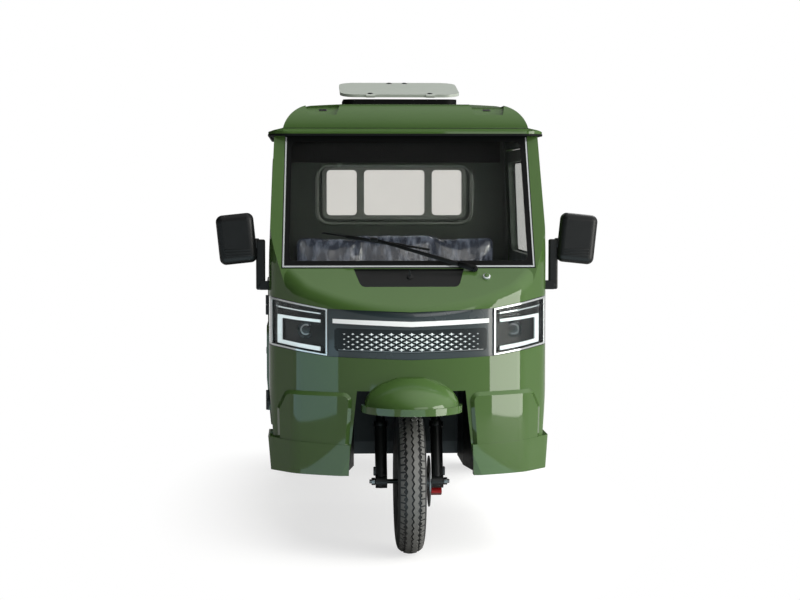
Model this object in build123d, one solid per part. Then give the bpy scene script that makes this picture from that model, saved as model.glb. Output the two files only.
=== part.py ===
from build123d import *
import os
from math import sqrt

os.makedirs("parts", exist_ok=True)

# Overall layout, mm: Y runs back from the front axle, X to the vehicle's left, Z up from the ground
CENTRE_Y = 1380.0
WHEELBASE = 2300.0
TYRE_R = 277.0
TYRE_W = 108.0
RIM_R = 158.0
REAR_TRACK_HALF = 480.0

# Cab
WALL = 28.0
NOSE_Y = -165.0
NOSE_RADIUS = 800.0
CAB_HALF = 540.0
CAB_BACK_Y = 1290.0
SKIRT_Z = 319.0
NOSE_LOW_Z = 640.0
SCREEN_BASE_Y = 40.0
SCREEN_BASE_Z = 1093.0
SCREEN_TOP_Y = 240.0
CAB_TOP_Z = 1611.0
POST_Y = 300.0
BACK_SPLIT_Y = 1240.0
HOOD_EDGE_Z = 945.0
HOOD_ROUND = 60.0
FLOOR_Z0 = 398.0
FLOOR_Z1 = 416.0
RAIL_LOW = 338.0
DOOR_Y0 = 330.0
DOOR_Y1 = 1190.0
DOOR_Z0 = 360.0
DOOR_Z1 = 1570.0
DOOR_GAP = 6.0
DOOR_HINGE = (548.0, 340.0)

# Steering
RAKE = 22.0
FORK_OFFSET = 39.0
LEG_X = 108.0

# Load bed
BED_Y0 = 1340.0
BED_Y1 = 3060.0
BED_HALF = 565.0
BED_Z0 = 640.0
BED_Z1 = 670.0
BED_TOP = 990.0
GATE_HINGE = (3100.0, 634.0)
RAIL_X = 310.0

# Roof lid
LID_HINGE = (712.0, 1786.0)
LID_TILT = 11.0


def box(x0, x1, y0, y1, z0, z1):
    """Block between six planes."""
    return Pos((x0 + x1) / 2, (y0 + y1) / 2, (z0 + z1) / 2) * Box(x1 - x0, y1 - y0, z1 - z0)


def poly(pts, r=0.0):
    """Flat face from corner points, its corners rounded when r is given."""
    face = make_face(Polyline(*pts, close=True))
    return fillet(face.vertices(), r) if r else face


def plan(face, z0, z1):
    """Raise a face drawn in X, Y."""
    return Pos(0, 0, z0) * extrude(face, z1 - z0)


def side(face, x0, x1):
    """Run a face drawn in Y, Z along X."""
    return Pos(x0, 0, 0) * extrude(Plane.YZ * face, x1 - x0)


def front(face, y0, y1):
    """Run a face drawn in X, Z along Y."""
    return Pos(0, y1, 0) * extrude(Plane.XZ * face, y1 - y0)


def rod(p, q, r):
    """Round bar between two points."""
    v = Vector(*q) - Vector(*p)
    bar = Cylinder(r, v.length, align=(Align.CENTER, Align.CENTER, Align.MIN))
    return Plane(origin=p, z_dir=v) * bar


def flip(shape):
    """The same piece on the other side."""
    return mirror(shape, about=Plane.YZ)


def twin(shape):
    """A piece and its mirror image."""
    return shape + flip(shape)


def save(name, shape):
    """Write one node in the shared frame."""
    export_step(Pos(0, -CENTRE_Y, 0) * shape, "parts/" + name + ".step")


def mirrored_pts(half):
    """Closed outline from its right-hand half, bottom to top."""
    return list(half) + [(-x, z) for x, z in reversed(half) if x]


def envelope(inset):
    """The cab's outer form, set in from the skin by inset."""
    xc = 430.0
    yc = NOSE_Y + NOSE_RADIUS - sqrt(NOSE_RADIUS**2 - xc**2)
    bow = ThreePointArc((-xc, yc), (0, NOSE_Y), (xc, yc))
    rest = Polyline((xc, yc), (CAB_HALF, 95), (CAB_HALF, CAB_BACK_Y), (-CAB_HALF, CAB_BACK_Y),
                    (-CAB_HALF, 95), (-xc, yc))
    p = make_face(bow + rest)
    p = fillet([v for v in p.vertices() if v.Y < 200], 140)
    p = fillet([v for v in p.vertices() if v.Y > 1200], 55)
    slope = (SCREEN_TOP_Y - SCREEN_BASE_Y) / (CAB_TOP_Z - SCREEN_BASE_Z)
    s = poly([(-90, 100), (-120, SKIRT_Z), (NOSE_Y, NOSE_LOW_Z), (NOSE_Y, HOOD_EDGE_Z),
              (SCREEN_BASE_Y, SCREEN_BASE_Z), (SCREEN_BASE_Y + slope * 800, SCREEN_BASE_Z + 800),
              (CAB_BACK_Y, SCREEN_BASE_Z + 800), (CAB_BACK_Y, 100)])
    f = poly(mirrored_pts([(493, 100), (512, SKIRT_Z), (540, NOSE_LOW_Z), (540, SCREEN_BASE_Z),
                           (505.7, 1900)]))
    if inset:
        p = offset(p, -inset, kind=Kind.INTERSECTION)
        s = offset(s, -inset, kind=Kind.INTERSECTION)
        f = offset(f, -inset, kind=Kind.INTERSECTION)
    body = plan(p, SKIRT_Z, CAB_TOP_Z) & side(s, -700, 700) & front(f, -500, 1500)
    crest = [e for e in body.edges() if 925 < e.center().Z < 1088 and e.center().Y < 45]
    return fillet(crest, HOOD_ROUND - inset)


SKIN = envelope(0)
IN6 = envelope(6)
IN12 = envelope(12)
INNER = envelope(WALL)
OUT14 = envelope(-14)
OUT16 = envelope(-16)
OUT20 = envelope(-20)
SHELL = SKIN - INNER
LAYER = SKIN - IN6
RECESS = IN6 - INNER

# Front panels
BAND = [(314, 949), (548, 990), (548, 799), (314, 768)]
LAMP_HOLLOW = [(323, 940), (540, 978), (540, 808), (323, 778)]
band = [(0, 758), (314, 768), (548, 799), (548, 990), (314, 949), (0, 938)]
band_cut = front(poly(mirrored_pts(band)), -300, 150)
bar_cut = front(poly(mirrored_pts([(0, 883), (296, 895), (296, 911), (0, 902)])), -300, 78)
lens_line = [(0, 783), (280, 790), (289, 799), (289, 868), (281, 876), (0, 870)]
lens_cut = front(poly(mirrored_pts(lens_line)), -300, 78)
cowl_cut = front(poly([(-224, 1120), (224, 1120), (186, 1028), (-186, 1028)], 24), -300, 78)

nose = SHELL & box(-700, 700, -400, POST_Y, NOSE_LOW_Z, SCREEN_BASE_Z)
save("nose_panel", nose - band_cut - cowl_cut)
save("cowl_panel", RECESS & cowl_cut & box(-300, 300, -400, 200, 1000, SCREEN_BASE_Z))
centre = front(poly(mirrored_pts([(0, 758), (314, 768), (314, 949), (0, 938)])), -300, 78)
save("grille_panel", (RECESS & centre) - bar_cut - lens_cut)
save("grille_light_bar", SHELL & bar_cut)
save("grille_lens", (IN6 - envelope(20)) & lens_cut)
lamp_cut = front(poly(BAND), -300, 150)
hollow = (IN6 - envelope(25)) & front(poly(LAMP_HOLLOW), -300, 142)
save("headlamp_housings", twin((RECESS & lamp_cut) - hollow))
save("headlamp_lenses", twin(LAYER & lamp_cut))

# Corner panels: a raised pad over a skirt band
corner_zone = [(240, SKIRT_Z), (600, SKIRT_Z), (600, NOSE_LOW_Z), (205, NOSE_LOW_Z)]
pad_line = poly([(240, 390), (504, 390), (508, 560), (474, 634), (222, 634)], 34)
pad = OUT16 & front(pad_line, -300, 60)
rim = [e for e in pad.edges() if e.center().Y < 55 and abs((e % 0.5).Y) < 0.95]
pad = chamfer(rim, 14)
skirt = OUT20 & front(poly([(236, SKIRT_Z), (600, SKIRT_Z), (600, 448), (232, 436)]), -300, POST_Y)
corner = (SHELL & front(poly(corner_zone), -400, POST_Y)) + (pad - INNER) + (skirt - INNER)
corner = corner & box(0, 700, -400, POST_Y, SKIRT_Z, NOSE_LOW_Z)
save("corner_panels", twin(corner))

# Front mudguard: a hollow dome with a flange
DOME = [(592, 178, 336), (640, 156, 302), (672, 112, 246), (692, 62, 196)]


def dome_section(z, half, reach):
    """Plan of the mudguard at one height: a bow with straight sides run back into the nose."""
    bow = ThreePointArc((half, -150), (0, -reach), (-half, -150))
    return Pos(0, 0, z) * make_face(bow + Polyline((-half, -150), (-half, -60), (half, -60), (half, -150)))


outer = loft([dome_section(z, half, reach) for z, half, reach in DOME])
flange = plan(dome_section(0, 190, 350), 566, 592)
cavity = loft([dome_section(z - 12, half - 12, reach - 12) for z, half, reach in DOME])
cavity += plan(dome_section(0, 166, 324), 560, 580)
save("nose_fender", (outer + flange) - cavity - SKIN)

# Wheel house
walls = poly([(-248, -88), (-224, 60), (-224, 342), (224, 342), (224, 60), (248, -88), (236, -88), (212, 60),
              (212, 330), (-212, 330), (-212, 60), (-236, -88)])
pedal = box(-262, -202, 372, 384, 430, 510) + box(-222, -206, 338, 376, 450, 466)
arch_gap = box(-211, 211, 325, 350, 300, 389)
save("wheel_house", plan(walls, 330, 638) - arch_gap + pedal)

# Windscreen
screen = poly(mirrored_pts([(490, SCREEN_BASE_Z + 2), (476, CAB_TOP_Z)]))
screen_cut = front(screen, -100, 420)
glass_zone = front(poly(mirrored_pts([(462, SCREEN_BASE_Z + 30), (449, CAB_TOP_Z - 26)]), 22), -100, 420)
front_half = box(-700, 700, -200, 420, SCREEN_BASE_Z, CAB_TOP_Z)
save("windscreen", (IN6 - IN12) & glass_zone & front_half)
save("windscreen_seal", ((envelope(2) - envelope(20)) & screen_cut & front_half) - glass_zone)

# Cab sides and back
pillar = SHELL & box(0, 700, -400, BACK_SPLIT_Y, SCREEN_BASE_Z, CAB_TOP_Z)
flank = SHELL & box(0, 700, POST_Y, BACK_SPLIT_Y, SKIRT_Z, SCREEN_BASE_Z)
door_line = [(DOOR_Y0, DOOR_Z0), (DOOR_Y1, DOOR_Z0), (DOOR_Y1, DOOR_Z1), (DOOR_Y0, DOOR_Z1)]
doorway = side(poly(door_line, 25), 0, 700)
cab_side = (pillar + flank) - screen_cut - doorway
hx, hy = DOOR_HINGE
HINGES = [520, 900]
for z0 in HINGES:
    cab_side += Pos(hx, hy, z0) * Cylinder(8, 38, align=(Align.CENTER, Align.CENTER, Align.MIN))
    cab_side += box(CAB_HALF - 22, hx, hy - 30, hy - 14, z0, z0 + 38)
    cab_side += box(hx - 6, hx + 6, hy - 24, hy, z0, z0 + 38)
save("cab_sides", twin(cab_side))

back = SHELL & box(-700, 700, BACK_SPLIT_Y, CAB_BACK_Y + 10, SKIRT_Z, CAB_TOP_Z)
window = front(poly([(-320, 1264), (320, 1264), (320, 1501), (-320, 1501)], 36), 1200, 1400)
rail_slots = twin(box(RAIL_X - 22, RAIL_X + 22, 1200, 1320, 300, 445))
save("back_wall", back - window - rail_slots)
panes = poly([(-301, 1282), (-167, 1282), (-167, 1483), (-301, 1483)], 18)
middle = poly([(-135, 1282), (135, 1282), (135, 1483), (-135, 1483)], 18)
holes = front(panes, 1200, 1400) + flip(front(panes, 1200, 1400)) + front(middle, 1200, 1400)
frame_ring = window & box(-400, 400, CAB_BACK_Y - WALL - 4, CAB_BACK_Y + 4, 1200, 1550)
save("back_window_frame", frame_ring - holes)
save("back_window_glass", holes & box(-400, 400, CAB_BACK_Y - 17, CAB_BACK_Y - 11, 1200, 1550))

# Doors
dy0, dy1 = DOOR_Y0 + DOOR_GAP, DOOR_Y1 - DOOR_GAP
dz0, dz1 = DOOR_Z0 + DOOR_GAP, DOOR_Z1 - DOOR_GAP
door = SHELL & side(poly([(dy0, dz0), (dy1, dz0), (dy1, dz1), (dy0, dz1)], 20), 0, 700)
bulge = Plane(origin=(520, 0, 0), x_dir=(0, 1, 0), z_dir=(1, 0, 0)) * poly(
    [(410, 440), (1130, 440), (1130, 860), (410, 860)], 40)
door += (OUT14 - INNER) & extrude(bulge, 60, taper=20) & box(0, 700, 0, 1290, 400, 900)
pane = side(poly([(396, 1130), (1124, 1130), (1124, 1515), (396, 1515)], 36), 0, 700)
door -= pane
door += box(535, 552, 1030, 1150, 980, 1004)
for z0 in HINGES:
    door += Pos(hx, hy, z0 + 39) * Cylinder(8, 38, align=(Align.CENTER, Align.CENTER, Align.MIN))
    door += box(hx - 14, hx, hy, hy + 34, z0 + 39, z0 + 77)
save("door_left", door)
save("door_right", flip(door))
pane_layer = (envelope(10) - envelope(15)) & pane & box(0, 700, 300, 1240, 1100, 1560)
save("door_glass_left", pane_layer)
save("door_glass_right", flip(pane_layer))

# Roof
brim = Polyline((-484, 1640), (-542, 1624), (-542, CAB_TOP_Z), (542, CAB_TOP_Z), (542, 1624), (484, 1640))
crown = ThreePointArc((484, 1640), (448, 1701), (372, 1735))
crown += ThreePointArc((372, 1735), (0, 1746), (-372, 1735))
roof_f = make_face(brim + crown + ThreePointArc((-372, 1735), (-448, 1701), (-484, 1640)))
lip = Polyline((1290, 1640), (1310, 1624), (1310, CAB_TOP_Z), (205, CAB_TOP_Z), (205, 1624), (262, 1638))
brow = ThreePointArc((262, 1638), (292, 1700), (372, 1737)) + Polyline((372, 1737), (700, 1748), (1180, 1740))
roof_s = make_face(lip + brow + ThreePointArc((1180, 1740), (1262, 1705), (1290, 1640)))
roof_out = front(roof_f, 150, 1350) & side(roof_s, -600, 600)
roof_out = roof_out & plan(poly([(-542, 205), (542, 205), (542, 1310), (-542, 1310)], 90), 1600, 1800)
hollow_f = [(360, 1710), (420, 1684), (456, 1634), (456, 1600)]
hollow_line = Polyline(*[(-x, z) for x, z in hollow_f], *reversed(hollow_f))
cavity_f = make_face(hollow_line + ThreePointArc((360, 1710), (0, 1721), (-360, 1710)))
cavity_s = poly([(300, 1600), (300, 1640), (330, 1688), (402, 1711), (700, 1723), (1170, 1713), (1235, 1680),
                 (1250, 1640), (1250, 1600)])
roof = roof_out - (front(cavity_f, 150, 1350) & side(cavity_s, -600, 600))
lid_hole = plan(poly([(-205, 745), (205, 745), (205, 1035), (-205, 1035)], 40), 1600, 1800)
pocket_line = poly([(250, 1760), (402, 1760), (386, 1692), (274, 1692)])
pocket = (roof_out - Pos(0, 18, -12) * roof_out) & front(pocket_line, 250, 470)
roof = roof - lid_hole - pocket - flip(pocket)
save("cab_roof", roof)
ring = plan(poly([(-238, 715), (238, 715), (238, 1060), (-238, 1060)], 50), 1715, 1773) - lid_hole
save("sunroof_frame", ring - roof_out)
ly, lz = LID_HINGE
lid = plan(poly([(-250, 0), (250, 0), (250, 350), (-250, 350)], 70), -6, 6)
for x in (-125, 125):
    lid += rod((x - 18, 0, 0), (x + 18, 0, 0), 7)
save("roof_lid", Pos(0, ly, lz) * Rot(LID_TILT, 0, 0) * lid)

# Wiper
SLOPE = (SCREEN_TOP_Y - SCREEN_BASE_Y) / (CAB_TOP_Z - SCREEN_BASE_Z)


def on_screen(x, z, off):
    """Point off the windscreen's outer face."""
    return (x, SCREEN_BASE_Y + (z - SCREEN_BASE_Z) * SLOPE - off, z)


wiper = rod(on_screen(252, 1100, -8), on_screen(252, 1092, 22), 14)
wiper += rod(on_screen(252, 1096, 18), on_screen(-134, 1206, 18), 6)
wiper += rod(on_screen(-334, 1231, 8), on_screen(82, 1166, 8), 8)
wiper += rod(on_screen(-134, 1206, 22), on_screen(-134, 1200, 4), 6)
save("wiper", wiper - SKIN)

# Mirrors
at_head = Pos(664, 150, 1206) * Rot(0, 6, 0)
head = fillet((at_head * Box(146, 62, 193)).edges(), 26)
stalk = fillet(box(553, 589, 140, 164, 1008, 1204).edges(), 8) + box(574, 612, 144, 160, 1176, 1200)
stalk += box(540, 572, 134, 170, 1008, 1042)
face_cut = at_head * Pos(0, 34, 0) * Box(114, 14, 159)
glass = at_head * Pos(0, 29, 0) * Box(114, 4, 159)
mirror_body = (head + stalk) - face_cut
save("mirrors", twin(mirror_body))
save("mirror_glass", twin(glass))

# Cab inside
house_cut = box(-250, 250, -400, 342, 300, 500)
inside = envelope(WALL)
save("cab_floor", (inside & box(-700, 700, -400, 1300, FLOOR_Z0, FLOOR_Z1)) - house_cut)
save("dashboard", inside & box(-700, 700, 20, 170, 900, 1078))
save("seat_base", box(-470, 470, 810, 1225, FLOOR_Z1, 690))
save("seat_cushion", fillet(box(-455, 455, 780, 1190, 690, 780).edges(), 26))
back_rest = Pos(0, 1110, 791) * Rot(-7, 0, 0) * box(-455, 455, 0, 75, 0, 415)
save("seat_back", fillet(back_rest.edges(), 26))

# Chassis
rail_line = poly([(200, RAIL_LOW), (1312, RAIL_LOW), (1470, 560), (3050, 560), (3050, BED_Z0), (1424, BED_Z0),
                  (1268, FLOOR_Z0), (200, FLOOR_Z0)])
save("chassis_rails", twin(side(rail_line, RAIL_X - 20, RAIL_X + 20)))
CROSS_LOW = [342, 880, 1180]
CROSS_BED = [1560, 2040, 2540, 2990]
cross = Part()
for y in CROSS_LOW:
    cross += box(-290, 290, y, y + 50, RAIL_LOW, FLOOR_Z0)
for y in CROSS_BED:
    cross += box(-290, 290, y, y + 50, 570, 630)
save("crossmembers", cross)

STEER = Pos(0, 0, TYRE_R) * Rot(-RAKE, 0, 0)
head_tube = rod((0, FORK_OFFSET, 418), (0, FORK_OFFSET, 578), 32)
stem_hole = STEER * rod((0, FORK_OFFSET, 300), (0, FORK_OFFSET, 1000), 20)
carrier = rod((0, 246, 690), (0, 308, 352), 20) + box(-512, 512, 240, 280, 716, 756)
carrier += box(-24, 24, 300, 342, 350, 386)
save("steering_head", (STEER * head_tube + carrier) - stem_hole)

# Fork and handlebar
leg = rod((LEG_X, 0, -14), (LEG_X, 0, 230), 23) + rod((LEG_X, 0, 225), (LEG_X, 0, 408), 18)
leg += Pos(LEG_X, 0, 0) * Rot(0, 90, 0) * Cylinder(26, 44)
crown = box(-134, 134, -28, 62, 378, 412)
stem = rod((0, FORK_OFFSET, 405), (0, FORK_OFFSET, 852), 18.5)
axle = rod((-136, 0, 0), (136, 0, 0), 9)
save("fork", STEER * (twin(leg) + crown + stem + axle))
bar_path = FilletPolyline((-330, FORK_OFFSET + 90, 864), (-150, FORK_OFFSET, 864), (150, FORK_OFFSET, 864),
                          (330, FORK_OFFSET + 90, 864), radius=60)
bar = sweep(Plane(origin=bar_path @ 0, z_dir=bar_path % 0) * Circle(12), path=bar_path)
bar += box(-34, 34, 17, 61, 852, 880)
save("handlebar", STEER * bar)
caliper = box(82, 126, 28, 66, -40, 8)
caliper -= box(72, 86, 0, 100, -100, 100)
save("brake_caliper", STEER * (caliper - rod((LEG_X, 0, -14), (LEG_X, 0, 230), 23)
                               - Pos(LEG_X, 0, 0) * Rot(0, 90, 0) * Cylinder(26, 44)))


def wheel_at(y, x):
    """Place a wheel drawn about Z at its axle."""
    return Pos(x, y, TYRE_R) * Rot(0, 90, 0)


h = TYRE_W / 2
tyre_profile = make_face(
    Polyline((RIM_R, -38), (RIM_R, 38), (182, 48)) + ThreePointArc((182, 48), (222, h), (256, 47))
    + ThreePointArc((256, 47), (TYRE_R, 0), (256, -47)) + ThreePointArc((256, -47), (222, -h), (182, -48))
    + Polyline((182, -48), (RIM_R, -38)))
tyre = revolve(Plane.XZ * tyre_profile, Axis.Z)
rim_profile = poly([(10, -42), (38, -42), (38, -8), (140, -4), (140, -40), (RIM_R, -40), (RIM_R, 40),
                    (148, 40), (146, 6), (38, 6), (38, 42), (10, 42)])
rim = revolve(Plane.XZ * rim_profile, Axis.Z)
for k in range(8):
    rim -= Rot(0, 0, 45 * k) * Pos(98, 0, 0) * Cylinder(16, 60)
save("front_tyre", wheel_at(0, 0) * tyre)
save("front_rim", wheel_at(0, 0) * rim)
disc = Pos(0, 0, 75) * (Cylinder(98, 5) - Cylinder(10, 30))
disc += Pos(0, 0, 58.5) * (Cylinder(36, 33) - Cylinder(10, 60))
save("brake_disc", wheel_at(0, 0) * disc)
rear_rim = rim - Cylinder(19, 200)
for name, sx in (("left", 1), ("right", -1)):
    x = sx * REAR_TRACK_HALF
    turn = Rot(0, 0, 0) if sx > 0 else Rot(180, 0, 0)
    save("rear_tyre_" + name, wheel_at(WHEELBASE, x) * tyre)
    save("rear_rim_" + name, wheel_at(WHEELBASE, x) * turn * rear_rim)

# Rear axle, springs and battery
tube = rod((60 - REAR_TRACK_HALF, WHEELBASE, TYRE_R), (REAR_TRACK_HALF - 60, WHEELBASE, TYRE_R), 38)
tube += rod((-REAR_TRACK_HALF - 56, WHEELBASE, TYRE_R), (REAR_TRACK_HALF + 56, WHEELBASE, TYRE_R), 18)
tube += rod((-95, WHEELBASE, TYRE_R), (95, WHEELBASE, TYRE_R), 112)
motor_y = WHEELBASE - 185
tube += rod((-60, motor_y, TYRE_R + 20), (60, motor_y, TYRE_R + 20), 70)
tube += box(-50, 50, motor_y, WHEELBASE, 240, 330)
tube += rod((58, motor_y, TYRE_R + 20), (250, motor_y, TYRE_R + 20), 92)
save("rear_axle", tube)
y0, y1 = WHEELBASE - 380, WHEELBASE + 380
leaf_line = make_face(
    ThreePointArc((y0, 450), (WHEELBASE, 315), (y1, 450)) + Polyline((y1, 450), (y1, 480))
    + ThreePointArc((y1, 480), (WHEELBASE, 345), (y0, 480)) + Polyline((y0, 480), (y0, 450)))
leaf = side(leaf_line, RAIL_X - 25, RAIL_X + 25)
for y in (y0, y1 - 40):
    leaf += box(RAIL_X - 18, RAIL_X + 18, y, y + 40, 455, 560)
leaf -= rod((0, WHEELBASE, TYRE_R), (600, WHEELBASE, TYRE_R), 38)
save("leaf_springs", twin(leaf))
save("battery_box", box(-270, 270, 1500, 1780, 380, 556) + box(-240, 240, 1566, 1604, 556, 570))

# Load bed
save("bed_headboard", box(-BED_HALF, BED_HALF, BED_Y0, BED_Y0 + 30, BED_Z0, BED_TOP))
bed_side = box(BED_HALF - 30, BED_HALF, BED_Y0 + 30, BED_Y1, BED_Z0, BED_TOP)
for k in range(4):
    bay = BED_Y0 + 62 + k * 416
    bed_side -= box(BED_HALF - 7, BED_HALF + 1, bay, bay + 376, 690, 940)
save("bed_sides", twin(bed_side))
gy, gz = GATE_HINGE
gate = box(-BED_HALF + 2, BED_HALF - 2, BED_Y1 + 6, BED_Y1 + 36, BED_Z0 + 6, BED_TOP - 2)
for x in (-350, 0, 350):
    gate -= box(x - 155, x + 155, BED_Y1 + 29, BED_Y1 + 37, 710, 936)
knuckle = box(330, 400, gy - 10, gy, gz, BED_Z0 + 60) + rod((330, gy, gz), (400, gy, gz), 10)
gate += twin(knuckle)
save("tailgate", gate)
hang = rod((402, gy, gz), (440, gy, gz), 10) + box(402, 440, BED_Y1 - 40, gy, gz - 6, gz + 6)
guard = twin(rod((RAIL_X, 3030, 430), (RAIL_X, 3030, 560), 18))
guard += rod((-490, 3030, 430), (490, 3030, 430), 24)
save("rear_guard", guard)
bed = box(-BED_HALF + 30, BED_HALF - 30, BED_Y0 + 30, BED_Y1, BED_Z0, BED_Z1) + twin(hang)
for x in (-450, 450):
    for y in (1500, 2900):
        bed -= Pos(x, y, BED_Z0) * Cylinder(5.5, 100)
save("bed_floor", bed)
save("tail_lamps", twin(box(452, 556, BED_Y1 - 34, BED_Y1 - 2, 566, BED_Z0)))
arch = Cylinder(312, 124) - Cylinder(306, 130)
arch = Pos(REAR_TRACK_HALF + 2, WHEELBASE, TYRE_R) * Rot(0, 90, 0) * arch
arch = arch & box(400, 600, y0, y1, 400, 640)
arch += box(450, 550, WHEELBASE - 40, WHEELBASE + 40, TYRE_R + 309, BED_Z0)
save("rear_mudguards", twin(arch))
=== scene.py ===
import logging
import math
from dataclasses import dataclass
from enum import Enum
from typing import Callable, Sequence

import bmesh
import bpy
from mathutils import Matrix, Vector


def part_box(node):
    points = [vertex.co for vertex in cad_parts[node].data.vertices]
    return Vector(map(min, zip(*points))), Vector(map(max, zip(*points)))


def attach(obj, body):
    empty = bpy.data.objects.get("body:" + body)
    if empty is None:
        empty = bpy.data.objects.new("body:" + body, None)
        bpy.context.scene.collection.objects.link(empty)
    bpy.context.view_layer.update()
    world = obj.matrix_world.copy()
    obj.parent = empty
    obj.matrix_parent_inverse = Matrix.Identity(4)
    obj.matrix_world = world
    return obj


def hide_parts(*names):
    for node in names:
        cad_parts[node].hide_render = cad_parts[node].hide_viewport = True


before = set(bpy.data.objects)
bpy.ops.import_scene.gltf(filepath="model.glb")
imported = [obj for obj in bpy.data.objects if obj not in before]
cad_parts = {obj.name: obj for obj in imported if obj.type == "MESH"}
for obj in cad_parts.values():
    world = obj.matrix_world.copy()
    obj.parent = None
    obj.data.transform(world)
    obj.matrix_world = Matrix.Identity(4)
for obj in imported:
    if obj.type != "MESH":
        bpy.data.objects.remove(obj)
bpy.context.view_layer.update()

LOG = logging.getLogger("tricycle")

# Sizes in mm: from the front axle back to the middle of the shared frame, height of the axles, wheelbase, and from
# the middle to a rear wheel
AXLE_TO_CENTRE = 1380.0
WHEEL_Z = 277.0
WHEELBASE = 2300.0
HALF_TRACK = 480.0
# Plane in front of the vehicle on which strips are drawn before they are pressed back on a panel, mm
DRAWING_Y = -345.0
# Edges that turn more than this are rounded
SHARP = math.radians(50)

Point = tuple[float, float, float]
Flat = tuple[float, float]
Piece = bpy.types.Object


def place(x: float, y: float, z: float) -> Vector:
    """Turn a point in mm, measured back from the front axle, into the shared frame.

    Args:
        x: Distance to the vehicle's left.
        y: Distance behind the front axle.
        z: Height over the ground.

    Returns:
        The point in metres.
    """
    return Vector((x, y - AXLE_TO_CENTRE, z)) / 1000


def linear(code: str) -> tuple[float, float, float, float]:
    """Turn an sRGB hex value into linear colour.

    Args:
        code: Six hex digits.

    Returns:
        Red, green, blue and a full alpha.
    """
    parts = [int(code[i:i + 2], 16) / 255 for i in (0, 2, 4)]
    flat = [c / 12.92 if c <= 0.04045 else ((c + 0.055) / 1.055) ** 2.4 for c in parts]
    return (flat[0], flat[1], flat[2], 1.0)


def hand(side: int) -> str:
    """Name the side of the vehicle that a sign stands for."""
    return "left" if side > 0 else "right"


def add_node(tree: bpy.types.NodeTree, kind: str, settings: dict[str | int, object],
             links: dict[str | int, bpy.types.NodeSocket]) -> bpy.types.Node:
    """Add a shader node, set it up and link its inputs.

    Args:
        tree: The material's or world's node tree.
        kind: The node's type.
        settings: Values by property name, or by an input's name or number.
        links: Output sockets by the name or number of the input that they feed.

    Returns:
        The new node.
    """
    node = tree.nodes.new(kind)
    for key, value in settings.items():
        if isinstance(key, int) or key in node.inputs:
            node.inputs[key].default_value = value
        else:
            setattr(node, key, value)
    for key, socket in links.items():
        tree.links.new(socket, node.inputs[key])
    return node


class Grain(Enum):
    """How a surface was made, which sets how it breaks up the light."""

    SPRAYED = "sprayed"
    MOULDED = "moulded"
    BRUSHED = "brushed"
    CREASED = "creased"
    POLISHED = "polished"


@dataclass(frozen=True)
class Finish:
    """One material: its colours, gloss and grain, with sizes in mm."""

    name: str
    colour: str
    # Second colour, mixed in by a cloud noise; on creased vinyl it paints in pale glints
    shade: str
    roughness: float
    grain: Grain
    grain_mm: float
    relief_mm: float
    cloud_mm: float = 160.0
    metallic: float = 0.0
    ior: float = 1.5
    coat: float = 0.0
    coat_roughness: float = 0.03
    clear: float = 0.0
    # Emission; on chrome, the window moulding, the lamp band's facets and the seat it paints in light
    glow: float = 0.0

    def material(self) -> bpy.types.Material:
        """Build the shader once and hand it out.

        Returns:
            The finished material.
        """
        made = bpy.data.materials.get(self.name)
        if made:
            return made
        made = bpy.data.materials.new(self.name)
        made.use_nodes = True
        tree = made.node_tree
        tree.nodes.clear()
        creased = self.grain is Grain.CREASED
        stretch = {Grain.BRUSHED: (1.0, 1.0, 12.0), Grain.CREASED: (1.6, 1.0, 0.5)}
        spot = add_node(tree, "ShaderNodeTexCoord", {}, {})
        run = add_node(tree, "ShaderNodeMapping", {"Scale": stretch.get(self.grain, (1.0, 1.0, 1.0))},
                       {"Vector": spot.outputs["Object"]})
        cloud = add_node(tree, "ShaderNodeTexNoise", {"Scale": 1000 / self.cloud_mm, "Detail": 4.0},
                         {"Vector": run.outputs["Vector"] if creased else spot.outputs["Object"]})
        # Folds show only the upper part of the noise, so that the pale painted glints stay narrow
        low, high = (0.46, 0.74) if creased else (0.0, 1.0)
        share = add_node(tree, "ShaderNodeMapRange", {"From Min": low, "From Max": high},
                         {"Value": cloud.outputs["Fac"]})
        # On creased vinyl this mix paints pale glints into both the colour and the glow; on the other finishes it is
        # a random tone
        tint = add_node(tree, "ShaderNodeMix",
                        {"data_type": "RGBA", 6: linear(self.colour), 7: linear(self.shade)},
                        {"Factor": share.outputs["Result"]})
        wear = add_node(tree, "ShaderNodeMapRange",
                        {"To Min": max(self.roughness * 0.8, 0.0), "To Max": min(self.roughness * 1.25, 1.0)},
                        {"Value": cloud.outputs["Fac"]})
        skin = add_node(tree, "ShaderNodeBsdfPrincipled",
                        {"Metallic": self.metallic, "IOR": self.ior, "Coat Weight": self.coat,
                         "Coat Roughness": self.coat_roughness, "Transmission Weight": self.clear,
                         "Emission Strength": self.glow},
                        {"Base Color": tint.outputs[2], "Emission Color": tint.outputs[2],
                         "Roughness": wear.outputs["Result"]})
        if self.grain is not Grain.POLISHED:
            kind = "ShaderNodeTexVoronoi" if creased else "ShaderNodeTexNoise"
            fine = add_node(tree, kind, {"Scale": 1000 / self.grain_mm}, {"Vector": run.outputs["Vector"]})
            bump = add_node(tree, "ShaderNodeBump", {"Distance": self.relief_mm / 1000},
                            {"Height": fine.outputs[0]})
            tree.links.new(bump.outputs["Normal"], skin.inputs["Normal"])
        add_node(tree, "ShaderNodeOutputMaterial", {}, {"Surface": skin.outputs["BSDF"]})
        return made


# Two-pack enamel on pressed steel, sprayed and lacquered: deep olive green under a clear wet-looking coat. The
# lacquer makes the gloss, so the paint's own index is hardly above that of air
GREEN_ENAMEL = Finish("green_enamel", "425d2e", "3d572b", 0.34, Grain.SPRAYED, 14, 0.03, 400, ior=1.06, coat=1.0)
# Powder-coated steel: satin black with a slight ripple
BLACK_STEEL = Finish("black_powder_coat", "101111", "171818", 0.36, Grain.SPRAYED, 3, 0.05)
# ABS moulded in a spark-eroded tool: dull black that greys where light grazes it
BLACK_PLASTIC = Finish("black_abs", "0d0e0e", "121313", 0.38, Grain.MOULDED, 1.6, 0.08, ior=1.36)
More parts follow.
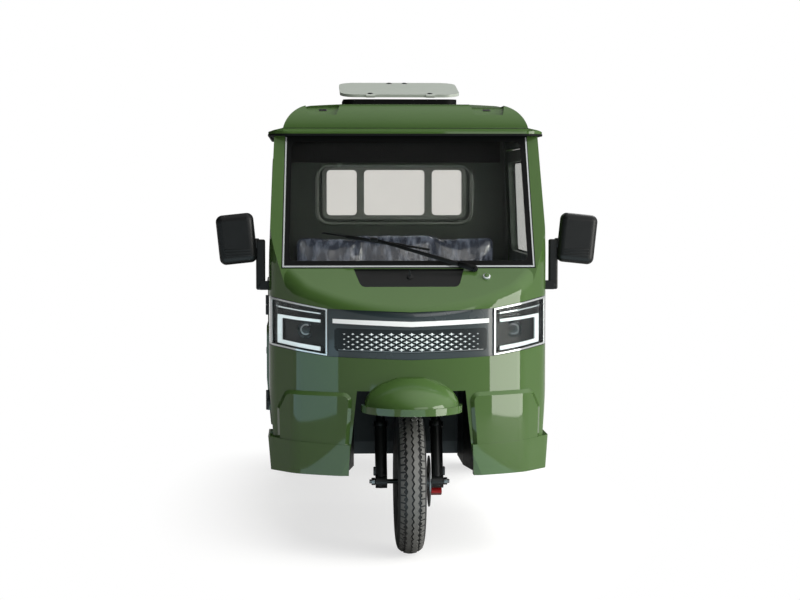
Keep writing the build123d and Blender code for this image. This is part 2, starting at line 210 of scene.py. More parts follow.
# Satin enamel of the wiper: deep black with a thin sheen along its edges
WIPER_ENAMEL = Finish("satin_black_enamel", "060707", "0a0b0b", 0.3, Grain.SPRAYED, 3, 0.03, ior=1.25)
# EPDM rubber, extruded: flat black
SEAL_RUBBER = Finish("epdm_rubber", "070808", "0b0c0c", 0.55, Grain.MOULDED, 4, 0.05, ior=1.22)
# Float glass with a light smoke tint: clear to look through, with a faint sheen
WINDOW_GLASS = Finish("float_glass", "e9e8e5", "e3e2df", 0.0, Grain.POLISHED, 1, 0, clear=1.0, ior=1.12)
# Thin drop glass of the doors, so clear that the bright outside shows at a slant
DOOR_GLASS = Finish("thin_float_glass", "f4f6f5", "eff2f0", 0.0, Grain.POLISHED, 1, 0, clear=1.0, ior=1.06)
# Silvered safety glass of the roof lid: pale grey-green with a soft sheen
LID_GLASS = Finish("silvered_glass", "acb2aa", "a2a9a0", 0.32, Grain.POLISHED, 1, 0, 90)
# Polycarbonate lamp cover, moulded and hard-coated: water clear
LAMP_COVER = Finish("clear_polycarbonate", "f2f5f5", "ecf0f0", 0.0, Grain.POLISHED, 1, 0, clear=1.0, ior=1.1)
# Gloss ABS of the lamp band: blue-grey, near black, under lacquer
BAND_PLASTIC = Finish("slate_gloss_abs", "252f32", "2a3538", 0.25, Grain.SPRAYED, 20, 0.02, coat=0.6)
# Opal acrylic light guide: milky white
LIGHT_GUIDE = Finish("opal_acrylic", "e6eaea", "dde2e2", 0.25, Grain.POLISHED, 1, 0, glow=0.22, coat=0.5)
# Aluminium vapour on plastic: bright facets, with a glow that paints in their highlights
REFLECTOR = Finish("vacuum_aluminium", "dfe5e6", "d0d8d9", 0.16, Grain.POLISHED, 1, 0, 40, 0.6, glow=0.5)
# Dark smoked reflector behind the facets: near black with a cold sheen
LAMP_BOWL = Finish("dark_chrome", "1d2426", "171d1f", 0.25, Grain.POLISHED, 1, 0, 60, 0.3)
# Acrylic tail lens: clear red
TAIL_RED = Finish("red_acrylic", "a3100f", "8d0b0b", 0.12, Grain.POLISHED, 1, 0, 60, coat=0.8)
# Acrylic turn-signal lens: warm amber
AMBER = Finish("amber_acrylic", "d9720e", "c8650a", 0.12, Grain.POLISHED, 1, 0, 60, coat=0.8)
# Silvered mirror glass: a plain mirror
MIRROR = Finish("mirror_silver", "dfe3e4", "d8dddd", 0.02, Grain.POLISHED, 1, 0, 200, 1.0)
# PVC seat cover still in its crinkled film: slate blue with pale painted glints along the folds, drawn coarser than
# life, and a glow that paints in light on the seat
SEAT_VINYL = Finish("slate_pvc", "353a45", "737b8b", 0.22, Grain.CREASED, 46, 3.0, 38, coat=1.0, glow=0.45)
# Carbon-black tyre rubber, moulded: charcoal, dull on the walls and in the grooves
TYRE_RUBBER = Finish("carbon_black_rubber", "171717", "232323", 0.55, Grain.MOULDED, 3, 0.12, 60)
# Tread blocks painted mid-grey for the light on their tops: they stand out over dark grooves
TREAD_HIGHLIGHT = Finish("tread_highlight", "5b5b59", "6c6c69", 0.6, Grain.MOULDED, 2.5, 0.15, 40)
# Painted steel rim: black with a soft gloss
RIM_PAINT = Finish("rim_enamel", "1c1d1e", "232425", 0.3, Grain.SPRAYED, 8, 0.03, coat=0.4)
# Ground and turned steel: cool grey with fine lathe lines
GROUND_STEEL = Finish("ground_steel", "8b8d8e", "7a7c7d", 0.32, Grain.BRUSHED, 2, 0.02, 60, 1.0)
# Chromed brass and steel trim: cold, with a faint glow that paints in extra brightness
CHROME = Finish("chrome_plate", "d6dadb", "cdd2d3", 0.16, Grain.POLISHED, 1, 0, 80, 0.75, glow=0.08)
# Red anodised caliper: satin metal red
CALIPER_RED = Finish("red_anodised", "b01418", "9b1014", 0.3, Grain.SPRAYED, 3, 0.03, 30, 0.4)
# Textured lining paint inside the cab: dull, near-black green, painted dark for the shade inside the cab
SHADED_LINING = Finish("shaded_lining_paint", "2c362e", "333d34", 0.5, Grain.SPRAYED, 6, 0.06)
# Gloss enamel of the back window's frame and moulding: dark olive, with a glow that paints in the light on its round
MOULDING = Finish("moulding_enamel", "39433a", "434d43", 0.25, Grain.SPRAYED, 12, 0.02, coat=1.0, glow=0.12)
# Felted headlining: black, drinks the light; a real headlining, also dark enough to paint in the shade under the
# roof
HEADLINER = Finish("black_felt", "0c0c0d", "111112", 0.85, Grain.MOULDED, 3, 0.3)


class Bench:
    """Modelling steps that every piece shares, all in Blender's own operators."""

    @staticmethod
    def clear() -> None:
        """Go to object mode with nothing selected."""
        if bpy.context.mode != "OBJECT":
            bpy.ops.object.mode_set(mode="OBJECT")
        bpy.ops.object.select_all(action="DESELECT")

    @staticmethod
    def grab(piece: Piece) -> None:
        """Select one piece alone and make it active.

        Args:
            piece: The piece to select.
        """
        Bench.clear()
        piece.select_set(True)
        bpy.context.view_layer.objects.active = piece

    @staticmethod
    def settle(name: str) -> Piece:
        """Name the primitive just added and move its place into its mesh.

        Args:
            name: The piece's name.

        Returns:
            The primitive.
        """
        piece = bpy.context.object
        piece.name = piece.data.name = name
        bpy.ops.object.transform_apply(location=True, rotation=True, scale=True)
        return piece

    @staticmethod
    def modify(piece: Piece, kind: str, **settings: object) -> Piece:
        """Add a modifier, set it up and apply it.

        Args:
            piece: The piece to change.
            kind: The modifier's type.
            settings: Its properties by name.

        Returns:
            The same piece.
        """
        Bench.grab(piece)
        step = piece.modifiers.new(kind, kind)
        for key, value in settings.items():
            setattr(step, key, value)
        bpy.ops.object.modifier_apply(modifier=step.name)
        return piece

    @staticmethod
    def soften(piece: Piece, width: float, rows: int = 2) -> Piece:
        """Round the sharp edges of a piece by a width in mm."""
        return Bench.modify(piece, "BEVEL", width=width / 1000, segments=rows, limit_method="ANGLE",
                            angle_limit=SHARP)

    @staticmethod
    def pick(piece: Piece, test: Callable[[Vector], bool]) -> None:
        """Enter edit mode and select the vertices that a test wants.

        Args:
            piece: The piece to edit.
            test: Says whether the vertex at a place is wanted.
        """
        Bench.grab(piece)
        bpy.ops.object.mode_set(mode="EDIT")
        bpy.ops.mesh.select_mode(type="VERT")
        bpy.ops.mesh.select_all(action="DESELECT")
        mesh = bmesh.from_edit_mesh(piece.data)
        for vert in mesh.verts:
            vert.select_set(test(vert.co))
        mesh.select_flush(True)
        bmesh.update_edit_mesh(piece.data)

    @staticmethod
    def pick_all(piece: Piece) -> None:
        """Enter edit mode with the whole piece selected."""
        Bench.pick(piece, lambda co: True)

    @staticmethod
    def tidy(piece: Piece) -> Piece:
        """Merge doubles and turn all faces outwards.

        Args:
            piece: The piece to clean up.

        Returns:
            The same piece.
        """
        Bench.pick_all(piece)
        bpy.ops.mesh.remove_doubles(threshold=0.00002)
        bpy.ops.mesh.normals_make_consistent(inside=False)
        Bench.clear()
        return piece

    @staticmethod
    def block(name: str, lo: Point, hi: Point, edge: float, rows: int = 2) -> Piece:
        """Block between two opposite corners with rounded edges.

        Args:
            name: The piece's name.
            lo: One corner, mm.
            hi: The opposite corner, mm.
            edge: Edge radius, mm.
            rows: Facets across the rounding.

        Returns:
            The block.
        """
        Bench.clear()
        a, b = place(*lo), place(*hi)
        bpy.ops.mesh.primitive_cube_add(size=1, location=(a + b) / 2, scale=[abs(side) for side in b - a])
        piece = Bench.settle(name)
        return Bench.modify(piece, "BEVEL", width=edge / 1000, segments=rows, limit_method="NONE")

    @staticmethod
    def drum(name: str, start: Point, end: Point, radius: float, edge: float = 1.0, sides: int = 32) -> Piece:
        """Round bar between two points with rounded rims.

        Args:
            name: The piece's name.
            start: Middle of one end, mm.
            end: Middle of the other end, mm.
            radius: Radius, mm.
            edge: Rounding of the rims, mm.
            sides: Facets round the bar.

        Returns:
            The bar.
        """
        Bench.clear()
        a, b = place(*start), place(*end)
        turn = (b - a).to_track_quat("Z", "Y").to_euler()
        bpy.ops.mesh.primitive_cylinder_add(vertices=sides, radius=radius / 1000, depth=(b - a).length,
                                            location=(a + b) / 2, rotation=turn)
        piece = Bench.settle(name)
        return Bench.soften(piece, edge)

    @staticmethod
    def bar(name: str, start: Point, end: Point, wide0: float, wide1: float, deep: float) -> Piece:
        """Flat bar between two points that may taper in width.

        Args:
            name: The piece's name.
            start: Middle of one end, mm.
            end: Middle of the other end, mm.
            wide0: Width at the start, mm.
            wide1: Width at the end, mm.
            deep: Thickness front to back, mm.

        Returns:
            The bar.
        """
        Bench.clear()
        a, b = place(*start), place(*end)
        run = (b - a).normalized()
        across = run.cross(Vector((0, 1, 0))).normalized()
        turn = Matrix((across, run.cross(across), run)).transposed().to_euler()
        bpy.ops.mesh.primitive_cube_add(size=1, location=(a + b) / 2, rotation=turn,
                                        scale=(wide0 / 1000, deep / 1000, (b - a).length))
        piece = Bench.settle(name)
        if wide1 != wide0:
            Bench.pick(piece, lambda co: (co - b).length < (co - a).length)
            bpy.ops.transform.resize(value=(wide1 / wide0,) * 3, center_override=b)
        return Bench.modify(piece, "BEVEL", width=min(wide1, deep) / 4000, segments=2, limit_method="NONE")

    @staticmethod
    def touch(node: str, x: float, z: float) -> Point:
        """Find where a CAD node's front face lies at a place in front view.

        Args:
            node: The CAD node.
            x: Distance to the vehicle's left, mm.
            z: Height, mm.

        Returns:
            The point on the face, mm.
        """
        hit, spot, _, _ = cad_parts[node].ray_cast(place(x, DRAWING_Y, z), (0, 1, 0))
        if not hit:
            raise ValueError(node + " has no face at that place")
        return (x, spot.y * 1000 + AXLE_TO_CENTRE, z)

    @staticmethod
    def hoop(name: str, middle: Point, axis: Point, major: float, minor: float, sides: int = 48) -> Piece:
        """Ring of round wire about an axis.

        Args:
            name: The piece's name.
            middle: Centre of the ring, mm.
            axis: Direction of its axis.
            major: Radius of the ring, mm.
            minor: Radius of the wire, mm.
            sides: Facets round the ring.

        Returns:
            The ring.
        """
        Bench.clear()
        turn = Vector(axis).to_track_quat("Z", "Y").to_euler()
        bpy.ops.mesh.primitive_torus_add(major_radius=major / 1000, minor_radius=minor / 1000,
                                         location=place(*middle), rotation=turn, major_segments=sides,
                                         minor_segments=10)
        return Bench.settle(name)

    @staticmethod
    def quad(name: str, corners: Sequence[Point], cuts: int) -> Piece:
        """Four-cornered sheet, cut into smaller faces.

        Args:
            name: The piece's name.
            corners: Four corners in order, mm.
            cuts: Cuts along each side.

        Returns:
            The sheet.
        """
        Bench.clear()
        bpy.ops.mesh.primitive_plane_add(size=2)
        piece = Bench.settle(name)
        starts = ((-1, -1), (1, -1), (1, 1), (-1, 1))
        for (sx, sy), corner in zip(starts, corners):
            start = Vector((sx, sy, 0))
            Bench.pick(piece, lambda co: (co - start).length < 0.01)
            bpy.ops.transform.translate(value=place(*corner) - start)
        if cuts:
            Bench.pick_all(piece)
            bpy.ops.mesh.subdivide(number_cuts=cuts)
        Bench.clear()
        return piece

    @staticmethod
    def rim(name: str, corners: Sequence[Point], corner: float, width: float, height: float) -> Piece:
        """Rounded frame: a sheet rounded at its corners, hollowed and raised.

        Args:
            name: The piece's name.
            corners: Four corners in order, seen from outside, mm.
            corner: Corner radius, mm.
            width: Width of the frame, mm.
            height: Height of the frame over the sheet, mm.

        Returns:
            The frame.
        """
        piece = Bench.quad(name, corners, 0)
        Bench.pick_all(piece)
        bpy.ops.mesh.bevel(offset=corner / 1000, segments=8, affect="VERTICES")
        bpy.ops.mesh.select_all(action="SELECT")
        bpy.ops.mesh.inset(thickness=width / 1000)
        bpy.ops.mesh.delete(type="FACE")
        bpy.ops.object.mode_set(mode="OBJECT")
        Bench.modify(piece, "SOLIDIFY", thickness=height / 1000, offset=1.0)
        Bench.tidy(piece)
        return Bench.soften(piece, min(width, height) / 4)

    @staticmethod
    def ribbon(name: str, inner: Sequence[Flat], outer: Sequence[Flat], cuts: int) -> Piece:
        """Flat strip drawn in front view between two lines of points.

        Args:
            name: The piece's name.
            inner: Points X, Z along one edge, mm.
            outer: Points X, Z along the other edge, mm.
            cuts: Cuts along each stretch.

        Returns:
            The strip, well in front of the vehicle.
        """
        parts = []
        for i in range(len(inner) - 1):
            ring = (inner[i], inner[i + 1], outer[i + 1], outer[i])
            parts.append(Bench.quad(name, [(x, DRAWING_Y, z) for x, z in ring], cuts))
        return Bench.tidy(Bench.join(name, parts))

    @staticmethod
    def lay(piece: Piece, node: str, lift: float, thick: float) -> Piece:
        """Press a strip back on a CAD node and give it thickness.

        Args:
            piece: The strip, in front of the node.
            node: The CAD node that it lies on.
            lift: Gap to the node's face, mm.
            thick: Thickness towards the front, mm.

        Returns:
            The same piece.
        """
        Bench.modify(piece, "SHRINKWRAP", target=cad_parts[node], wrap_method="PROJECT", use_project_y=True,
                     use_positive_direction=True, use_negative_direction=False, wrap_mode="ABOVE_SURFACE",
                     offset=lift / 1000)
        if min(vert.co.y for vert in piece.data.vertices) < place(0, DRAWING_Y + 1, 0).y:
            raise ValueError(piece.name + " runs off " + node)
        Bench.pick_all(piece)
        bpy.ops.mesh.normals_make_consistent(inside=False)
        mesh = bmesh.from_edit_mesh(piece.data)
        if sum(face.normal.y for face in mesh.faces) > 0:
            bpy.ops.mesh.flip_normals()
        Bench.modify(piece, "SOLIDIFY", thickness=thick / 1000, offset=1.0)
        return Bench.soften(piece, min(thick, 2.0) / 4, 1)

    @staticmethod
    def join(name: str, parts: Sequence[Piece]) -> Piece:
        """Join pieces into one object.

        Args:
            name: The joined piece's name.
            parts: The pieces, of which the first takes up the rest.

        Returns:
            The joined piece.
        """
        Bench.grab(parts[0])
        for part in parts[1:]:
            part.select_set(True)
        if len(parts) > 1:
            bpy.ops.object.join()
        parts[0].name = parts[0].data.name = name
        return parts[0]

    @staticmethod
    def copies(name: str, pattern: Piece, moves: Sequence[Matrix]) -> Piece:
        """Repeat a piece, each copy with its own mesh, and join the copies.

        Args:
            name: The joined piece's name.
            pattern: The piece to copy.
            moves: Where each copy goes.

        Returns:
            The joined piece.
        """
        parts = []
        for move in moves:
            part = bpy.data.objects.new(name, pattern.data.copy())
            part.data.transform(move)
            if move.determinant() < 0:
                part.data.flip_normals()
            bpy.context.scene.collection.objects.link(part)
            parts.append(part)
        bpy.data.objects.remove(pattern)
        return Bench.join(name, parts)

    @staticmethod
    def dress(piece: Piece, finish: Finish, angle: float = 40.0) -> Piece:
        """Give a piece its material and smooth its shading over gentle edges.

        Args:
            piece: The piece to dress.
            finish: Its finish.
            angle: Edges that turn less than this are smoothed, degrees.

        Returns:
            The same piece.
        """
        piece.data.materials.clear()
        piece.data.materials.append(finish.material())
        Bench.grab(piece)
        bpy.ops.object.shade_smooth_by_angle(angle=math.radians(angle))
        return piece

    @staticmethod
    def mount(piece: Piece, body: str, slot: str, *nodes: str) -> Piece:
        """Fix a finished piece to a body.

        Args:
            piece: The finished piece.
            body: The body that it moves with.
            slot: The record's material slot.
            nodes: CAD nodes that it stands for.

        Returns:
            The same piece.
        """
        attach(piece, body)
        if nodes:
            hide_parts(*nodes)
        LOG.info("built %s on %s, %d faces", piece.name, body, len(piece.data.polygons))
        return piece

    @staticmethod
    def fit(name: str, parts: Sequence[Piece], finish: Finish, body: str, slot: str, *nodes: str) -> Piece:
        """Dress parts alike, join them and fix them to a body.

        Args:
            name: The joined piece's name.
            parts: The parts, undressed.
            finish: The finish of all of them.
            body: The body that the piece moves with.
            slot: The record's material slot; not used.
            nodes: CAD nodes that it stands for.

        Returns:
            The joined piece.
        """
        for part in parts:
            Bench.dress(part, finish)
        return Bench.mount(Bench.join(name, parts), body, slot, *nodes)

    @staticmethod
    def around(hub: Vector, turn: Matrix) -> Matrix:
        """Turn about a point in place of the origin."""
        return Matrix.Translation(hub) @ turn @ Matrix.Translation(-hub)


FLIP = Matrix.Scale(-1, 4, (1, 0, 0))


@dataclass
class CadDress:
    """Finishes of the CAD nodes that stay in view."""

    green: tuple[str, ...] = ("nose_panel", "corner_panels", "nose_fender", "cab_sides", "back_wall", "door_left",
                              "door_right", "cab_roof", "bed_headboard", "bed_sides", "tailgate")
    steel: tuple[str, ...] = ("chassis_rails", "crossmembers", "steering_head", "cab_floor", "rear_axle",
                              "leaf_springs", "bed_floor", "rear_guard", "fork", "handlebar")
    plastic: tuple[str, ...] = ("wheel_house", "cowl_panel", "headlamp_housings", "mirrors", "dashboard",
                                "seat_base", "rear_mudguards", "battery_box", "wiper")
    rubber: tuple[str, ...] = ("windscreen_seal", "sunroof_frame")
    glass: tuple[str, ...] = ("windscreen", "back_window_glass")
    drop_glass: tuple[str, ...] = ("door_glass_left", "door_glass_right")
    rims: tuple[str, ...] = ("front_rim", "rear_rim_left", "rear_rim_right")
    tyres: tuple[str, ...] = ("front_tyre", "rear_tyre_left", "rear_tyre_right")
    seats: tuple[str, ...] = ("seat_cushion", "seat_back")
    roof_rim: float = 1700.0
    roof_hollow: tuple[Flat, Flat] = ((-470.0, 260.0), (470.0, 1262.0))
    door_window: Flat = (1120.0, 1530.0)
    side_skin: float = 540.5
    hinge_pillar: float = 380.0

    def build(self) -> None:
        """Assign every node its finish, line roof and cab in dark finishes that paint in the shade inside, and
        blacken the sides of the hinge pillars.
        """
        groups = [(self.green, GREEN_ENAMEL), (self.steel, BLACK_STEEL), (self.plastic, BLACK_PLASTIC),
                  (self.rubber, SEAL_RUBBER), (self.glass, WINDOW_GLASS), (self.drop_glass, DOOR_GLASS),
                  (self.rims, RIM_PAINT), (self.tyres, TYRE_RUBBER), (self.seats, SEAT_VINYL),
                  (("roof_lid",), LID_GLASS), (("back_window_frame",), MOULDING), (("headlamp_lenses",), LAMP_COVER),
                  (("grille_panel",), BAND_PLASTIC), (("grille_light_bar",), LIGHT_GUIDE),
                  (("grille_lens",), LAMP_BOWL), (("tail_lamps",), TAIL_RED), (("mirror_glass",), MIRROR),
                  (("brake_disc",), GROUND_STEEL), (("brake_caliper",), CALIPER_RED)]
        for names, finish in groups:
            for name in names:
                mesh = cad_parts[name].data
                mesh.materials.clear()
                mesh.materials.append(finish.material())
                LOG.info("dressed %s in %s", name, finish.name)
        # The black felt under the roof also paints in its shade
        self.line(("cab_roof",), HEADLINER, self.under_roof)
        # The near-black lining paints in the shade inside the cab on the back wall, the sides and the doors
        self.line(("back_wall",), SHADED_LINING, lambda face: face.normal.y < -0.5)
        self.line(("cab_sides",), SHADED_LINING, self.looks_in)
        self.line(("door_left", "door_right"), SHADED_LINING, lambda face: self.in_window(face) or self.looks_in(face))
        self.line(("cab_sides", "door_left", "door_right"), BLACK_STEEL, self.on_pillar)

    @staticmethod
    def line(names: Sequence[str], finish: Finish, test: Callable[[bpy.types.MeshPolygon], bool]) -> None:
        """Give some faces of CAD nodes a further finish.

        Args:
            names: The CAD nodes.
            finish: The finish that is added.
            test: Says whether a face gets it.
        """
        for name in names:
            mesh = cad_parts[name].data
            mesh.materials.append(finish.material())
            for face in mesh.polygons:
                if test(face):
                    face.material_index = len(mesh.materials) - 1

    def under_roof(self, face: bpy.types.MeshPolygon) -> bool:
        """Say whether a face of the roof looks down or into its hollow.

        Args:
            face: The face.

        Returns:
            Whether it is lined.
        """
        lo, hi = (place(x, y, 0) for x, y in self.roof_hollow)
        spot = face.center
        hollow = lo.x < spot.x < hi.x and lo.y < spot.y < hi.y
        return face.normal.z < -0.2 or (spot.z < self.roof_rim / 1000 and face.normal.z < 0.2 and hollow)

    @staticmethod
    def looks_in(face: bpy.types.MeshPolygon) -> bool:
        """Say whether a face of a cab side or door looks into the cab."""
        return face.normal.x * face.center.x < 0 and abs(face.normal.x) > 0.5

    def in_window(self, face: bpy.types.MeshPolygon) -> bool:
        """Say whether a face of a door lies round its window opening."""
        low, high = self.door_window
        return abs(face.normal.x) < 0.5 and low < face.center.z * 1000 < high

    def on_pillar(self, face: bpy.types.MeshPolygon) -> bool:
        """Say whether a face stands proud of the side skin in front of the door."""
        return abs(face.center.x) * 1000 > self.side_skin and face.center.y < place(0, self.hinge_pillar, 0).y


@dataclass
class Tyre:
    """A road tyre: the moulded casing, two zigzag ribs and two rows of shoulder blocks."""

    node: str
    body: str
    middle: Point
    radius: float = 277.0
    crown_radius: float = 63.1
    depth: float = 6.0
    pitches: int = 58
    rib_at: float = 12.5
    rib_width: float = 18.0
    sway: float = 3.6
    slot: float = 8.0
    groove: float = 8.5
    shoulder: float = 46.0
    root: float = 9.0
    band_steps: Flat = (258.5, 266.5)

    def crown(self, x: float) -> float:
        """Radius of the tread at a distance from the middle plane."""
        return self.radius - self.crown_radius + math.sqrt(self.crown_radius ** 2 - x ** 2)

    def casing(self) -> Piece:
        """Copy the CAD tyre and draw its tread band in by the tread depth.

        Returns:
            The casing.
        """
        piece = bpy.data.objects.new(self.body + "_tyre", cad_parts[self.node].data.copy())
        bpy.context.scene.collection.objects.link(piece)
        Bench.tidy(piece)
        hub = place(*self.middle)
        k = 1 - self.depth / 2 / self.radius
        for limit in self.band_steps:
            Bench.pick(piece, lambda co: math.hypot(co.y - hub.y, co.z - hub.z) > limit / 1000)
            bpy.ops.transform.resize(value=(1, k, k), center_override=hub)
        Bench.grab(piece)
        bpy.ops.mesh.customdata_custom_splitnormals_clear()
        return piece

    def rib(self, x: float) -> Piece:
        """Spin one zigzag rib round the tread.

        Args:
            x: Distance of its middle line from the middle plane, mm.

        Returns:
            The closed ring.
        """
        cx, cy, cz = self.middle
        half = self.rib_width / 2
        left, right = self.crown(x - half), self.crown(x + half)
        corners = [(cx + x - half, cy, cz + left - self.root), (cx + x + half, cy, cz + right - self.root),
                   (cx + x + half, cy, cz + right), (cx + x - half, cy, cz + left)]
        piece = Bench.quad("rib", corners, 0)
        hub = place(*self.middle)
        Bench.pick_all(piece)
        bpy.ops.mesh.delete(type="ONLY_FACE")
        bpy.ops.mesh.select_all(action="SELECT")
        bpy.ops.mesh.spin(steps=2 * self.pitches, angle=2 * math.pi, center=hub, axis=(1, 0, 0))
        Bench.tidy(piece)
        step = math.pi / self.pitches
        for odd in (0, 1):
            def on_turn(co: Vector) -> bool:
                """Tell the odd rings from the even ones."""
                return round(math.atan2(co.y - hub.y, co.z - hub.z) / step) % 2 == odd
            Bench.pick(piece, on_turn)
            bpy.ops.transform.translate(value=((2 * odd - 1) * self.sway / 1000, 0, 0))
        Bench.clear()
        return piece

    def lugs(self) -> Piece:
        """Model one arrow-headed shoulder block and set it all round both shoulders.

        Returns:
            All blocks as one piece.
        """
        cx, cy, cz = self.middle
        hub = place(*self.middle)
        half = math.pi * self.radius / self.pitches - self.slot / 2
        inner, outer = self.rib_at + self.rib_width / 2 + self.groove, self.shoulder
        lug = Bench.quad("lug", [(cx + inner, cy - half, cz), (cx + outer, cy - half, cz),
                                 (cx + outer, cy + half, cz), (cx + inner, cy + half, cz)], 3)
        tip = place(cx + inner, cy, cz)
        Bench.pick(lug, lambda co: (co - tip).length < 0.002)
        bpy.ops.transform.translate(value=(-1.2 * self.sway / 1000, 0, 0))
        for x in sorted({round(vert.co.x, 5) for vert in lug.data.vertices}):
            Bench.pick(lug, lambda co: abs(co.x - x) < 0.00002 and abs(co.z - hub.z) < 0.001)
            bpy.ops.transform.translate(value=(0, 0, self.crown(x * 1000 - cx) / 1000))
        Bench.modify(lug, "SOLIDIFY", thickness=self.root / 1000, offset=-1.0)
        Bench.tidy(lug)
        Bench.soften(lug, 0.9, 1)
        moves = []
        for k in range(2 * self.pitches):
            turn = Matrix.Rotation(math.pi * k / self.pitches, 4, "X")
            moves.append(Bench.around(hub, turn @ FLIP if k % 2 else turn))
        return Bench.copies("lugs", lug, moves)

    def build(self) -> Piece:
        """Join casing, ribs and shoulder blocks and put the tyre on its wheel.

        Returns:
            The finished tyre.
        """
        parts = [Bench.dress(self.casing(), TYRE_RUBBER, 35)]
        tread = (self.lugs(), self.rib(-self.rib_at), self.rib(self.rib_at))
        # The tread blocks take a paler paint that stands for the light on their tops
        parts += [Bench.dress(part, TREAD_HIGHLIGHT, 35) for part in tread]
        piece = Bench.join(self.body + "_tyre", parts)
        return Bench.mount(piece, self.body, "tyre_rubber", self.node)


@dataclass
class HeadLamp:
    """One headlamp: light guide, projector and bright frame behind a clear cover."""

    side: int
    guide_in: tuple[Flat, ...] = ((337, 895), (479, 906), (479, 822), (337, 803))
    guide_out: tuple[Flat, ...] = ((337, 906), (495, 919), (495, 809), (337, 787))
    brow_in: tuple[Flat, ...] = ((337, 926), (470, 942), (500, 946))
    brow_out: tuple[Flat, ...] = ((337, 931), (472, 948), (504, 953))
    frame_in: tuple[Flat, ...] = ((322, 943), (525, 976), (525, 806), (322, 777), (322, 943))
    frame_out: tuple[Flat, ...] = ((316, 948), (533, 985), (533, 800), (316, 771), (316, 948))
    eye: Flat = (396.0, 866.0)

    def strip(self, name: str, inner: Sequence[Flat], outer: Sequence[Flat], cuts: int) -> Piece:
        """Draw a strip in front of this lamp.

        Args:
            name: The strip's name.
            inner: Points X, Z along one edge on the left lamp, mm.
            outer: Points X, Z along the other edge on the left lamp, mm.
            cuts: Cuts along each stretch.

        Returns:
            The flat strip.
        """
        edges = [[(x * self.side, z) for x, z in edge] for edge in (inner, outer)]
        return Bench.ribbon(name, edges[0], edges[1], cuts)

    def build(self) -> None:
        """Lay the strips on housing and cover and set the projector in."""
        tag = hand(self.side)
        guide = self.strip("drl_" + tag, self.guide_in, self.guide_out, 9)
        Bench.dress(Bench.lay(guide, "headlamp_housings", 6.0, 6.0), LIGHT_GUIDE)
        brow = self.strip("drl_brow_" + tag, self.brow_in, self.brow_out, 9)
        Bench.dress(Bench.lay(brow, "headlamp_housings", 4.0, 4.0), CHROME)
        Bench.mount(Bench.join("drl_" + tag, [guide, brow]), "chassis", "light_bar_white")
        trim = self.strip("lamp_frame_" + tag, self.frame_in, self.frame_out, 11)
        Bench.lay(trim, "headlamp_lenses", 0.2, 1.5)
        Bench.mount(Bench.dress(trim, CHROME), "chassis", "disc_steel")
        x, y, z = Bench.touch("headlamp_housings", self.eye[0] * self.side, self.eye[1])
        bezel = Bench.dress(Bench.hoop("bezel", (x, y - 6, z), (0, 1, 0), 27, 6), LAMP_BOWL)
        barrel = Bench.dress(Bench.drum("barrel", (x, y + 2, z), (x, y - 6, z), 24, 2), GROUND_STEEL)
        pupil = Bench.dress(Bench.drum("pupil", (x, y - 5, z), (x, y - 13, z), 16, 6), LAMP_BOWL)
        Bench.mount(Bench.join("projector_" + tag, [bezel, barrel, pupil]), "chassis", "lamp_lens")


@dataclass
class LampBand:
    """The centre of the lamp band: bright four-pointed facets in staggered columns that shrink to the ends."""

    half: float = 276.0
    low: float = 796.0
    pitch_x: float = 19.2
    pitch_z: float = 19.4
    rows: int = 4
    height: float = 4.0
    facet: Flat = (0.98, 0.5)
    waist: float = 0.62
    shrink: float = 0.55
    crowding: float = 0.06
    lift: float = 1.0
    line_in: tuple[Flat, ...] = ((-274, 793), (0, 786), (274, 793))
    line_out: tuple[Flat, ...] = ((-274, 796), (0, 789), (274, 796))

    def facets(self) -> Piece:
        """Model one facet and set it column by column on the lens.

        Returns:
            All facets as one piece.
        """
        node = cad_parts["grille_lens"]
        Bench.clear()
        bpy.ops.mesh.primitive_cone_add(vertices=4, radius1=1, depth=1, rotation=(math.pi / 2, 0, 0))
        stone = Bench.settle("facet")
        Bench.pick_all(stone)
        bpy.ops.mesh.subdivide(number_cuts=1)
        Bench.pick(stone, lambda co: 0.3 < math.hypot(co.x, co.z) < 0.9)
        bpy.ops.transform.resize(value=(self.waist, 1, self.waist), center_override=(0, 0, 0))
        Bench.clear()
        moves = []
        count = int(self.half / self.pitch_x)
        for k in range(-count, count + 1):
            outward = (abs(k) / count) ** 2
            share = 1.0 - self.shrink * outward
            x = k * self.pitch_x * (1 - self.crowding * outward)
            for row in range(self.rows - k % 2):
                z = self.low + (row + 0.5 * (k % 2)) * self.pitch_z
                hit, spot, normal, _ = node.ray_cast(place(x, DRAWING_Y, z), (0, 1, 0))
                if not hit:
                    continue
                turn = Vector((0, -1, 0)).rotation_difference(normal).to_matrix().to_4x4()
                size = Matrix.Diagonal((self.pitch_x * self.facet[0] * share / 1000, self.height / 1000,
                                        self.pitch_z * self.facet[1] * share / 1000, 1))
                moves.append(Matrix.Translation(spot + normal * self.lift / 1000) @ turn @ size)
        return Bench.copies("reflector_facets", stone, moves)

    def build(self) -> None:
        """Fit the facets and the bright line under the lens."""
        # The facets' glow is a painted highlight
        Bench.mount(Bench.dress(self.facets(), REFLECTOR, 10), "chassis", "grille_clear")
        low = Bench.ribbon("lens_line", self.line_in, self.line_out, 15)
        Bench.mount(Bench.dress(Bench.lay(low, "grille_lens", 0.2, 1.2), GROUND_STEEL), "chassis", "grille_clear")


